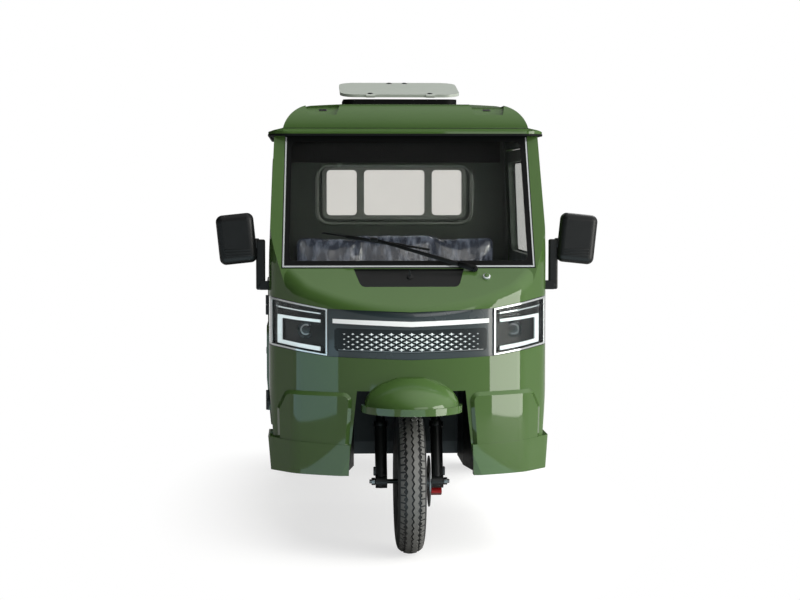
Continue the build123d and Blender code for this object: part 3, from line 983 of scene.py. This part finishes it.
@dataclass
class Wiper:
    """Wiper with its tapered arm, sprung blade and spindle, in place of the plain CAD rods."""

    pivot: Flat = (252.0, 1094.0)
    joint: Flat = (-134.0, 1206.0)
    tip: Flat = (-334.0, 1231.0)
    tail: Flat = (82.0, 1166.0)
    base_y: float = 40.0
    base_z: float = 1093.0
    slope: float = 0.386

    def off(self, spot: Flat, gap: float) -> Point:
        """Point in front of the windscreen's outer face, mm."""
        x, z = spot
        return (x, self.base_y + (z - self.base_z) * self.slope - gap, z)

    def along(self, share: float) -> Flat:
        """Point on the blade's line, from tip to tail."""
        (x0, z0), (x1, z1) = self.tip, self.tail
        return (x0 + (x1 - x0) * share, z0 + (z1 - z0) * share)

    def build(self) -> None:
        """Join arm, blade, claws and spindle."""
        near = (self.pivot[0] - 66, self.pivot[1] + 19)
        parts = [Bench.drum("spindle", self.off(self.pivot, -4), self.off(self.pivot, 20), 13, 3),
                 Bench.drum("spindle_cap", self.off(self.pivot, 18), self.off(self.pivot, 27), 8, 3),
                 Bench.bar("arm_head", self.off(self.pivot, 17), self.off(near, 20), 26, 19, 13),
                 Bench.bar("arm", self.off(near, 19), self.off(self.joint, 19), 17, 11, 6),
                 Bench.block("clip", self.off((self.joint[0] - 15, self.joint[1] - 7), 25),
                             self.off((self.joint[0] + 15, self.joint[1] + 7), 9), 3),
                 Bench.bar("spine", self.off(self.along(0.22), 14), self.off(self.along(0.78), 14), 13, 13, 5),
                 Bench.bar("rubber", self.off(self.tip, 4), self.off(self.tail, 4), 9, 9, 9)]
        for low, high in ((0.08, 0.36), (0.64, 0.92)):
            parts.append(Bench.bar("claw", self.off(self.along(low), 10), self.off(self.along(high), 10), 7, 7, 4))
        Bench.fit("wiper_assembly", parts, WIPER_ENAMEL, "chassis", "black_plastic", "wiper")


@dataclass
class ScreenTrim:
    """Bright strip round the windscreen, washer jet and filler cap on the cowl."""

    strip_out: tuple[Flat, ...] = ((-474, 1602), (-486, 1099), (486, 1099), (474, 1602))
    strip_in: tuple[Flat, ...] = ((-468, 1602), (-480, 1105), (480, 1105), (468, 1602))
    jet: Flat = (2.0, 1062.0)
    cap: Flat = (296.0, 1062.0)

    def build(self) -> None:
        """Lay the strip and set the jet and the cap."""
        strip = Bench.ribbon("screen_strip", self.strip_in, self.strip_out, 15)
        Bench.lay(strip, "windscreen_seal", 0.3, 2.0)
        Bench.mount(Bench.dress(strip, CHROME), "chassis", "disc_steel")
        x, y, z = Bench.touch("cowl_panel", *self.jet)
        parts = [Bench.drum("jet_foot", (x, y + 4, z - 3), (x, y - 5, z + 4), 12, 3),
                 Bench.bar("jet_post", (x, y, z), (x, y - 8, z + 26), 8, 5, 8)]
        Bench.fit("washer_jet", parts, BLACK_PLASTIC, "chassis", "black_plastic")
        x, y, z = Bench.touch("nose_panel", *self.cap)
        ring = Bench.dress(Bench.drum("cap_ring", (x, y + 4, z - 4), (x, y - 5, z + 7), 15, 3), CHROME)
        lid = Bench.dress(Bench.drum("cap_lid", (x, y - 4, z + 5), (x, y - 8, z + 11), 10, 4), GREEN_ENAMEL)
        Bench.mount(Bench.join("filler_cap", [ring, lid]), "chassis", "disc_steel")


@dataclass
class RoofFittings:
    """Rubber edging of the roof brim, bolts of the tilting lid and the two pocket slots."""

    hinge: Flat = (712.0, 1786.0)
    tilt: float = 11.0
    bolts: tuple[Flat, ...] = ((-125, 24), (125, 24), (-33, 328), (33, 328))
    slots: tuple[Flat, ...] = ((-326, 1712), (326, 1712))
    slot_half: Flat = (15.0, 4.0)
    brim_half: float = 544.0
    brim_ends: Flat = (203.0, 1312.0)
    brim_z: float = 1607.0
    brim_corner: float = 91.0
    edging: float = 9.0

    def on_lid(self, x: float, run: float, rise: float) -> Point:
        """Point over the lid's middle plane, from its hinge line, mm."""
        c, s = math.cos(math.radians(self.tilt)), math.sin(math.radians(self.tilt))
        return (x, self.hinge[0] + run * c - rise * s, self.hinge[1] + run * s + rise * c)

    def build(self) -> None:
        """Fit edging, bolts and slots."""
        half, z = self.brim_half, self.brim_z
        front, back = self.brim_ends
        ring = [(-half, front, z), (half, front, z), (half, back, z), (-half, back, z)]
        brim = Bench.rim("brim_edging", ring, self.brim_corner, self.edging, self.edging)
        Bench.mount(Bench.dress(brim, SEAL_RUBBER), "chassis", "rubber_seal")
        parts = []
        for x, run in self.bolts:
            parts.append(Bench.drum("lid_bolt", self.on_lid(x, run, 5), self.on_lid(x, run, 9), 9, 2))
            parts.append(Bench.drum("lid_washer", self.on_lid(x, run, 5), self.on_lid(x, run, 6.5), 13, 0.6))
        Bench.fit("lid_bolts", parts, BLACK_PLASTIC, "roof_lid", "black_plastic")
        parts = []
        for x, z in self.slots:
            wide, high = self.slot_half
            strip = Bench.ribbon("pocket_slot", [(x - wide, z - high), (x + wide, z - high)],
                                 [(x - wide, z + high), (x + wide, z + high)], 3)
            parts.append(Bench.lay(strip, "cab_roof", 0.2, 1.0))
        Bench.fit("pocket_slots", parts, BLACK_PLASTIC, "chassis", "black_plastic")


@dataclass
class ForkTrim:
    """Collars, caps, pinch bolts and axle nuts of the telescopic fork."""

    rake: float = 22.0
    leg_x: float = 108.0
    clamp_out: float = 22.0
    collars: tuple[tuple[str, float, float, float], ...] = (("collar", 214, 238, 27), ("boot", 300, 318, 22),
                                                            ("foot", -24, -12, 18))

    def on_fork(self, x: float, run: float, rise: float) -> Point:
        """Point in the fork's raked frame, from the axle, mm."""
        c, s = math.cos(math.radians(self.rake)), math.sin(math.radians(self.rake))
        return (x, run * c + rise * s, WHEEL_Z - run * s + rise * c)

    def build(self) -> None:
        """Dress both legs alike."""
        dark, bright = [], []
        for side in (-1, 1):
            x = side * self.leg_x
            for name, low, high, radius in self.collars:
                dark.append(Bench.drum(name, self.on_fork(x, 0, low), self.on_fork(x, 0, high), radius, 4))
            out = x + side * self.clamp_out
            dark.append(Bench.block("clamp", self.on_fork(out - 8, 20, 30), self.on_fork(out + 8, -14, 52), 3))
            bright += [Bench.drum("cap", self.on_fork(x, 0, 411), self.on_fork(x, 0, 424), 17, 2, 6),
                       Bench.drum("nut", (side * 131, 0, WHEEL_Z), (side * 146, 0, WHEEL_Z), 15, 2, 6),
                       Bench.drum("stud", (side * 144, 0, WHEEL_Z), (side * 154, 0, WHEEL_Z), 8, 1.5)]
        Bench.fit("fork_fittings", dark, BLACK_STEEL, "steering", "black_steel")
        Bench.fit("fork_nuts", bright, GROUND_STEEL, "steering", "disc_steel")


@dataclass
class Cockpit:
    """Grips, levers and instrument pod on the handlebar."""

    bar_rise: float = 864.0
    grip_in: Flat = (215.0, 76.0)
    grip_out: Flat = (326.0, 128.0)
    switch_x: float = 175.0

    def build(self) -> None:
        """Fit both ends of the bar alike and the pod in the middle."""
        at = ForkTrim().on_fork
        rise, switch = self.bar_rise, self.switch_x
        parts = []
        for side in (-1, 1):
            inner = at(side * self.grip_in[0], self.grip_in[1], rise)
            outer = at(side * self.grip_out[0], self.grip_out[1], rise)
            parts.append(Bench.drum("grip", inner, outer, 17, 4))
            parts.append(Bench.hoop("grip_flange", inner, (side * 0.88, 0.45, -0.15), 19, 4, 32))
            parts.append(Bench.bar("lever", at(side * 170, 22, rise + 4), at(side * 318, 88, rise + 4), 12, 7, 6))
            parts.append(Bench.block("switch_box", at(side * switch - 22, 32, rise - 18),
                                     at(side * switch + 22, 76, rise + 20), 5))
        parts.append(Bench.block("dial_pod", at(-78, 20, rise + 20), at(78, 84, rise + 66), 12, 4))
        Bench.fit("bar_controls", parts, BLACK_PLASTIC, "steering", "black_plastic")


@dataclass
class MirrorRibs:
    """Moulded ribs low on the mirror backs and clamp bolts on the arms."""

    x0: float = 615.0
    x1: float = 713.0
    levels: tuple[float, ...] = (1142.0, 1153.0, 1164.0)
    middle_z: float = 1206.0
    lean: float = 0.105

    def build(self) -> None:
        """Rib both mirrors."""
        parts = []
        for side in (-1, 1):
            for z in self.levels:
                shift = (z - self.middle_z) * self.lean
                a, b = side * (self.x0 + shift), side * (self.x1 + shift)
                parts.append(Bench.bar("rib", (a, 119, z), (b, 119, z), 4.5, 4.5, 4))
            parts.append(Bench.drum("clamp_bolt", (side * 571, 136, 1024), (side * 571, 144, 1024), 8, 2, 6))
            parts.append(Bench.drum("swivel", (side * 590, 152, 1170), (side * 590, 152, 1208), 13, 3))
        Bench.fit("mirror_ribs", parts, BLACK_PLASTIC, "chassis", "black_plastic")


@dataclass
class CabLining:
    """Felt header over the back window, black to paint in the shade there, and the pressed moulding round it."""

    wall_y: float = 1262.0
    half: float = 352.0
    levels: Flat = (1236.0, 1512.0)
    corner: float = 62.0

    def build(self) -> None:
        """Fit header and moulding to the inside of the back wall."""
        # Black header painted in where the upper back wall lies in shade
        header = Bench.block("rear_header", (-472, self.wall_y - 9, 1516), (472, self.wall_y + 1, 1609), 4)
        Bench.mount(Bench.dress(header, HEADLINER), "chassis", "black_plastic")
        y = self.wall_y + 0.5
        low, high = self.levels
        corners = [(-self.half, y, low), (self.half, y, low), (self.half, y, high), (-self.half, y, high)]
        moulding = Bench.dress(Bench.rim("window_moulding", corners, self.corner, 17, 10), MOULDING)
        Bench.mount(moulding, "chassis", "black_plastic")


@dataclass
class SeatPad:
    """A sprung seat pad in crinkled vinyl, blown up between its seams from the plain CAD block."""

    node: str
    cell: float = 12.0
    slack: float = 5.0
    pressure: float = 4.0
    swell: float = 16.0
    frames: int = 20
    crinkle: float = 4.0
    fold: float = 60.0
    base: float = 12.0
    seams: tuple[float, ...] = (-152.0, 152.0)

    def blank(self) -> Piece:
        """Copy the CAD block, draw it in a little and remesh it.

        Returns:
            The blank of the pad.
        """
        piece = bpy.data.objects.new(self.node + "_pad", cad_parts[self.node].data.copy())
        bpy.context.scene.collection.objects.link(piece)
        Bench.tidy(piece)
        lo, hi = (Vector(corner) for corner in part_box(self.node))
        share = [1 - 2 * self.slack / 1000 / side for side in hi - lo]
        Bench.pick_all(piece)
        bpy.ops.transform.resize(value=share, center_override=(lo + hi) / 2)
        Bench.modify(piece, "REMESH", mode="VOXEL", voxel_size=self.cell / 1000)
        return Bench.modify(piece, "SMOOTH", factor=0.5, iterations=6)

    def sewn(self, spot: Vector) -> bool:
        """Say whether a point lies on a seam or, on the cushion, on its base."""
        base = self.node == "seat_cushion" and spot.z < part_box(self.node)[0][2] + self.base / 1000
        return base or any(abs(spot.x * 1000 - seam) < self.cell * 0.8 for seam in self.seams)

    def blow_up(self, piece: Piece) -> None:
        """Press the cover out as cloth between its seams and keep each point within the swell.

        Args:
            piece: The blank of the pad.
        """
        pins = piece.vertex_groups.new(name="seams")
        pins.add([vert.index for vert in piece.data.vertices if self.sewn(vert.co)], 1.0, "REPLACE")
        start = [vert.co.copy() for vert in piece.data.vertices]
        cover = piece.modifiers.new("cover", "CLOTH")
        cover.settings.vertex_group_mass = pins.name
        cover.settings.use_pressure = True
        cover.settings.uniform_pressure_force = self.pressure
        cover.settings.effector_weights.gravity = 0.0
        for step in range(1, self.frames + 1):
            bpy.context.scene.frame_set(step)
        Bench.grab(piece)
        bpy.ops.object.modifier_apply(modifier=cover.name)
        bpy.context.scene.frame_set(1)
        limit = self.swell / 1000
        for vert, old in zip(piece.data.vertices, start):
            move = vert.co - old
            if move.length > limit:
                vert.co = old + move * (limit / move.length)

    def welt(self, x: float) -> Piece:
        """Lay a round welt along one seam: over the cushion's top or up the front of the back.

        Args:
            x: Distance of the seam to the vehicle's left, mm.

        Returns:
            The welt.
        """
        lo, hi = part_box(self.node)
        front, back = lo[1] * 1000 + AXLE_TO_CENTRE, hi[1] * 1000 + AXLE_TO_CENTRE
        low, high = lo[2] * 1000, hi[2] * 1000
        if self.node == "seat_cushion":
            foot, top = (x, back - 30, high - self.slack), (x, front + 30, high - self.slack)
        else:
            foot, top = (x, front + 2 + self.slack, low + 34), (x, back - 74 + self.slack, high - 34)
        return Bench.drum("welt", foot, top, 4, 1, 12)

    def build(self) -> None:
        """Blow the cover up, crinkle it and lay the welts along its seams."""
        piece = self.blank()
        self.blow_up(piece)
        folds = bpy.data.textures.new(self.node + "_folds", "CLOUDS")
        folds.noise_scale = self.fold / 1000
        folds.noise_depth = 2
        Bench.modify(piece, "DISPLACE", texture=folds, strength=self.crinkle / 1000, mid_level=0.5)
        Bench.modify(piece, "SUBSURF", levels=1)
        # The vinyl paints pale glints and a glow of light onto the cover
        Bench.dress(piece, SEAT_VINYL, 180)
        Bench.mount(piece, "chassis", "seat_vinyl", self.node)
        Bench.fit(self.node + "_welts", [self.welt(x) for x in self.seams], SEAL_RUBBER, "chassis", "rubber_seal")


@dataclass
class WheelHub:
    """Hub cap and wheel nuts of one rear wheel."""

    side: int
    track: float = HALF_TRACK
    nuts: int = 5
    circle: float = 58.0

    def build(self) -> None:
        """Model one nut, set it round the hub and add the cap."""
        tag = hand(self.side)
        face = self.side * (self.track + 6)
        nut = Bench.drum("nut", (face, WHEELBASE + self.circle, WHEEL_Z),
                         (face + self.side * 14, WHEELBASE + self.circle, WHEEL_Z), 11, 2, 6)
        hub = place(0, WHEELBASE, WHEEL_Z)
        moves = [Bench.around(hub, Matrix.Rotation(2 * math.pi * k / self.nuts, 4, "X")) for k in range(self.nuts)]
        ring = Bench.dress(Bench.copies("wheel_nuts", nut, moves), GROUND_STEEL)
        lip = Bench.hoop("rim_lip", (self.side * (self.track + 41), WHEELBASE, WHEEL_Z), (1, 0, 0), 152, 4, 96)
        Bench.dress(lip, RIM_PAINT)
        Bench.mount(Bench.join("wheel_nuts_" + tag, [ring, lip]), "rear_wheel_" + tag, "rim_steel")
        end = self.side * (self.track + 56)
        cap = Bench.drum("axle_cap_" + tag, (end - self.side * 1, WHEELBASE, WHEEL_Z),
                         (end + self.side * 12, WHEELBASE, WHEEL_Z), 24, 6)
        Bench.mount(Bench.dress(cap, GROUND_STEEL), "chassis", "disc_steel")


@dataclass
class DoorTrim:
    """Window gasket, pull handle and lock of one door."""

    side: int
    skin_x: float = 540.0
    waist_z: float = 1093.0
    lean: float = 0.0425
    window: tuple[Flat, ...] = ((390, 1124), (1130, 1124), (1130, 1521), (390, 1521))
    pull_x: Flat = (548.0, 561.0)

    def skin(self, y: float, z: float, gap: float) -> Point:
        """Point off the door's outer face, mm."""
        return (self.side * (self.skin_x - max(z - self.waist_z, 0) * self.lean + gap), y, z)

    def build(self) -> None:
        """Fit gasket, handle and lock."""
        tag = hand(self.side)
        corners = [self.skin(y, z, -1) for y, z in self.window[::self.side]]
        gasket = Bench.rim("window_gasket_" + tag, corners, 40, 12, 6)
        Bench.mount(Bench.dress(gasket, SEAL_RUBBER), "door_" + tag, "rubber_seal")
        inner, outer = (self.side * x for x in self.pull_x)
        handle = Bench.block("pull", (inner, 1024, 974), (outer, 1156, 1010), 6, 3)
        grip = Bench.block("grip", (inner, 1036, 966), (outer, 1060, 1018), 5)
        lock = Bench.drum("lock", (self.side * 538, 1132, 948), (self.side * 546, 1132, 948), 12, 3)
        for part in (handle, grip):
            Bench.dress(part, BLACK_PLASTIC)
        Bench.dress(lock, CHROME)
        Bench.mount(Bench.join("door_handle_" + tag, [handle, grip, lock]), "door_" + tag, "black_plastic")


@dataclass
class BedFittings:
    """Rope hooks and top rails of the load bed, latches of the tailgate and lenses of the tail lamps."""

    half: float = 565.0
    front: float = 1338.0
    back: float = 3060.0
    top: float = 990.0
    first_hook: float = 1560.0
    hook_pitch: float = 460.0
    hook_count: int = 4
    latch_x: float = 520.0

    def hooks(self) -> None:
        """Hang rope hooks under both side boards."""
        y = self.first_hook
        plate = Bench.block("hook_plate", (self.half - 2, y - 16, 648), (self.half + 4, y + 16, 684), 2)
        hook = Bench.hoop("hook", (self.half + 9, y, 656), (1, 0, 0), 13, 3.5, 24)
        pattern = Bench.join("hook", [plate, hook])
        Bench.dress(pattern, BLACK_STEEL)
        moves = [Matrix.Translation((0, k * self.hook_pitch / 1000, 0)) for k in range(self.hook_count)]
        hooks = Bench.copies("rope_hooks", pattern, moves + [FLIP @ move for move in moves])
        Bench.mount(hooks, "chassis", "black_steel")

    def caps(self) -> None:
        """Cap the top rail of the side boards and headboard."""
        parts = []
        for side in (-1, 1):
            parts.append(Bench.block("rail", (side * (self.half + 3), self.front, self.top - 14),
                                     (side * (self.half - 33), self.back, self.top + 5), 4))
        parts.append(Bench.block("rail", (32 - self.half, self.front, self.top - 14),
                                 (self.half - 32, self.front + 35, self.top + 5), 4))
        Bench.fit("bed_rails", parts, BLACK_STEEL, "chassis", "black_steel")

    def latches(self) -> None:
        """Fit a drop latch at each end of the tailgate, its keeper on the side board."""
        gate, keeper = [], []
        for side in (-1, 1):
            x = side * self.latch_x
            gate.append(Bench.block("latch", (x - 16, self.back + 34, 880), (x + 16, self.back + 44, 950), 3))
            gate.append(Bench.drum("knob", (x, self.back + 40, 930), (x, self.back + 48, 930), 11, 3))
            keeper.append(Bench.block("keeper", (side * (self.half - 1), self.back - 60, 890),
                                      (side * (self.half + 6), self.back - 4, 940), 2))
        Bench.fit("gate_latches", gate, BLACK_STEEL, "tailgate", "black_steel")
        Bench.fit("latch_keepers", keeper, BLACK_STEEL, "chassis", "black_steel")

    def lenses(self) -> None:
        """Face the tail lamps with red, amber and clear lenses."""
        parts = []
        for side in (-1, 1):
            for inner, outer, finish in ((456, 486, LIGHT_GUIDE), (488, 520, TAIL_RED), (522, 552, AMBER)):
                lens = Bench.block("lens", (side * inner, self.back - 6, 572), (side * outer, self.back + 3, 634), 3)
                parts.append(Bench.dress(lens, finish))
        Bench.mount(Bench.join("tail_lenses", parts), "chassis", "tail_red")

    def build(self) -> None:
        """Fit everything on the bed."""
        self.hooks()
        self.caps()
        self.latches()
        self.lenses()


@dataclass
class Driveline:
    """U-bolts on the rear axle, cooling rings on the motor and catches on the battery box."""

    rail: float = 310.0
    rings: tuple[float, ...] = (88, 118, 148, 178, 208)

    def build(self) -> None:
        """Fit the driveline's small parts."""
        parts = []
        for side in (-1, 1):
            x = side * self.rail
            for y in (WHEELBASE - 46, WHEELBASE + 46):
                for leg in (x - 32, x + 32):
                    parts.append(Bench.drum("u_bolt", (leg, y, 232), (leg, y, 366), 6, 1.5, 16))
            for name, low in (("spring_plate", 226), ("spring_saddle", 348)):
                parts.append(Bench.block(name, (x - 44, WHEELBASE - 60, low), (x + 44, WHEELBASE + 60, low + 12), 3))
        for x in self.rings:
            parts.append(Bench.hoop("motor_ring", (x, WHEELBASE - 185, WHEEL_Z + 20), (1, 0, 0), 91, 5, 64))
        for x in (-150, 150):
            parts.append(Bench.block("catch", (x - 18, 1492, 500), (x + 18, 1502, 548), 3))
        Bench.fit("driveline_fittings", parts, BLACK_STEEL, "chassis", "black_steel")


@dataclass
class Studio:
    """Floor, soft lamps, white surround and the camera at the photograph's place."""

    camera_at: Point = (-403.0, -7500.0, 1403.0)
    photo_px: float = 800.0
    focal_px: float = 1965.0
    sensor: float = 36.0
    yaw: float = 2.8
    pitch: float = 3.26
    floor_lift: float = 0.68
    floor_grey: str = "9c9c9a"
    pool: Flat = (0.8, 2.0)
    pool_fade: Flat = (0.7, 1.35)
    sky_from: Point = (0.62, -0.1, 0.78)
    sky_fade: Flat = (0.3, 1.0)
    horizon: float = 0.05
    zenith: float = 2.9
    gloss_share: float = 0.36

    def camera(self) -> None:
        """Put the camera where the photograph was taken from."""
        data = bpy.data.cameras.new("front_camera")
        data.lens = self.focal_px * self.sensor / self.photo_px
        data.sensor_width = self.sensor
        data.clip_end = 200.0
        view = bpy.data.objects.new("front_camera", data)
        view.location = place(*self.camera_at)
        view.rotation_euler = (math.radians(90 - self.pitch), 0, math.radians(-self.yaw))
        bpy.context.scene.collection.objects.link(view)
        bpy.context.scene.camera = view

    def lamp(self, name: str, spot: Point, aim: Point, size: Flat, watts: float, tint: str = "ffffff",
             card: bool = False) -> None:
        """Hang one soft box.

        Args:
            name: The lamp's name.
            spot: Where it hangs, m.
            aim: What it points at, m.
            size: Width and height, m.
            watts: Its power.
            tint: Its colour, sRGB hex.
            card: Whether it only shows in gloss, as a white card would.
        """
        data = bpy.data.lights.new(name, "AREA")
        data.shape = "RECTANGLE"
        data.size, data.size_y = size
        data.energy = watts
        data.color = linear(tint)[:3]
        box = bpy.data.objects.new(name, data)
        box.visible_camera = False
        box.visible_diffuse = not card
        box.location = spot
        box.rotation_euler = (Vector(aim) - Vector(spot)).to_track_quat("-Z", "Y").to_euler()
        bpy.context.scene.collection.objects.link(box)

    def surround(self) -> None:
        """White to the eye and through glass; as a light, a soft sky that fades to dark near the horizon."""
        world = bpy.data.worlds.new("white_surround")
        bpy.context.scene.world = world
        world.use_nodes = True
        tree = world.node_tree
        tree.nodes.clear()
        path, seen = self.seen(tree)
        way = add_node(tree, "ShaderNodeTexCoord", {}, {})
        rise = add_node(tree, "ShaderNodeVectorMath", {"operation": "DOT_PRODUCT", 1: self.sky_from},
                        {0: way.outputs["Generated"]})
        low, high = self.sky_fade
        sky = add_node(tree, "ShaderNodeMapRange",
                       {"interpolation_type": "SMOOTHSTEP", "From Min": low, "From Max": high,
                        "To Min": self.horizon, "To Max": self.zenith}, {"Value": rise.outputs["Value"]})
        gloss = add_node(tree, "ShaderNodeMapRange", {"To Min": 1.0, "To Max": self.gloss_share},
                         {"Value": path.outputs["Is Glossy Ray"]})
        light = add_node(tree, "ShaderNodeMath", {"operation": "MULTIPLY"},
                         {0: sky.outputs["Result"], 1: gloss.outputs["Result"]})
        level = add_node(tree, "ShaderNodeMix", {"data_type": "FLOAT", 3: 1.0},
                         {0: seen.outputs[0], 2: light.outputs[0]})
        back = add_node(tree, "ShaderNodeBackground", {"Color": (1, 1, 1, 1)}, {"Strength": level.outputs[0]})
        add_node(tree, "ShaderNodeOutputWorld", {}, {"Surface": back.outputs["Background"]})

    @staticmethod
    def seen(tree: bpy.types.NodeTree) -> tuple[bpy.types.Node, bpy.types.Node]:
        """Tell what the eye sees, straight or through glass, from what only carries light.

        Args:
            tree: The material's or world's node tree.

        Returns:
            The light path, and a node that gives 1 where the eye sees.
        """
        path = add_node(tree, "ShaderNodeLightPath", {}, {})
        return path, add_node(tree, "ShaderNodeMath", {"operation": "MAXIMUM"},
                              {0: path.outputs["Is Camera Ray"], 1: path.outputs["Is Transmission Ray"]})

    def floor(self) -> None:
        """Lay a wide pale floor that keeps the shadow near the vehicle and runs out to pure white."""
        Bench.clear()
        bpy.ops.mesh.primitive_plane_add(size=80)
        ground = Bench.settle("studio_floor")
        paint = bpy.data.materials.new("matt_white_floor")
        paint.use_nodes = True
        tree = paint.node_tree
        tree.nodes.clear()
        spot = add_node(tree, "ShaderNodeTexCoord", {}, {})
        oval = add_node(tree, "ShaderNodeMapping", {"Scale": (1 / self.pool[0], 1 / self.pool[1], 1.0)},
                        {"Vector": spot.outputs["Object"]})
        reach = add_node(tree, "ShaderNodeVectorMath", {"operation": "LENGTH"}, {0: oval.outputs["Vector"]})
        near, out = self.pool_fade
        far = add_node(tree, "ShaderNodeMapRange", {"From Min": near, "From Max": out},
                       {"Value": reach.outputs["Value"]})
        _, seen = self.seen(tree)
        blend = add_node(tree, "ShaderNodeMath", {"operation": "MULTIPLY"},
                         {0: far.outputs["Result"], 1: seen.outputs[0]})
        lift = add_node(tree, "ShaderNodeMapRange", {"To Min": 0.0, "To Max": self.floor_lift},
                        {"Value": seen.outputs[0]})
        matt = add_node(tree, "ShaderNodeBsdfPrincipled",
                        {"Base Color": linear(self.floor_grey), "Roughness": 0.9, "Emission Color": (1, 1, 1, 1)},
                        {"Emission Strength": lift.outputs["Result"]})
        white = add_node(tree, "ShaderNodeEmission", {"Color": (1, 1, 1, 1), "Strength": 1.0}, {})
        mix = add_node(tree, "ShaderNodeMixShader", {},
                       {"Fac": blend.outputs[0], 1: matt.outputs["BSDF"], 2: white.outputs["Emission"]})
        add_node(tree, "ShaderNodeOutputMaterial", {}, {"Surface": mix.outputs["Shader"]})
        ground.data.materials.append(paint)

    def build(self) -> None:
        """Set up the whole studio."""
        bpy.context.scene.view_settings.view_transform = "Standard"
        self.camera()
        self.surround()
        self.floor()
        self.lamp("key_box", (4.3, -3.3, 1.5), (0.3, -1.3, 1.0), (2.6, 3.0), 150, "fffdf6")
        self.lamp("floor_card", (0.0, -4.7, 0.02), (0, -4.7, 1.0), (4.6, 5.8), 110, "b6dbe8", True)
        self.lamp("left_card", (-4.2, -3.4, 0.24), (-0.3, -1.4, 0.4), (4.0, 0.46), 9, "a9d6e8", True)
        self.lamp("front_box", (2.2, -7.2, 3.0), (0, -1.4, 0.9), (3.6, 2.6), 50)
        self.lamp("rear_box", (3.2, 4.6, 6.0), (0, 0.8, 0.8), (2.5, 2.5), 150)


def main() -> None:
    """Dress the CAD nodes, build each sub-assembly and light the scene."""
    logging.basicConfig(level=logging.INFO, format="%(message)s")
    CadDress().build()
    Tyre("front_tyre", "front_wheel", (0, 0, WHEEL_Z)).build()
    Tyre("rear_tyre_left", "rear_wheel_left", (HALF_TRACK, WHEELBASE, WHEEL_Z)).build()
    Tyre("rear_tyre_right", "rear_wheel_right", (-HALF_TRACK, WHEELBASE, WHEEL_Z)).build()
    for side in (1, -1):
        HeadLamp(side).build()
    LampBand().build()
    Wiper().build()
    ScreenTrim().build()
    RoofFittings().build()
    ForkTrim().build()
    Cockpit().build()
    MirrorRibs().build()
    CabLining().build()
    SeatPad("seat_cushion").build()
    SeatPad("seat_back").build()
    for side in (1, -1):
        WheelHub(side).build()
        DoorTrim(side).build()
    BedFittings().build()
    Driveline().build()
    Studio().build()


if __name__ == "__main__":
    main()
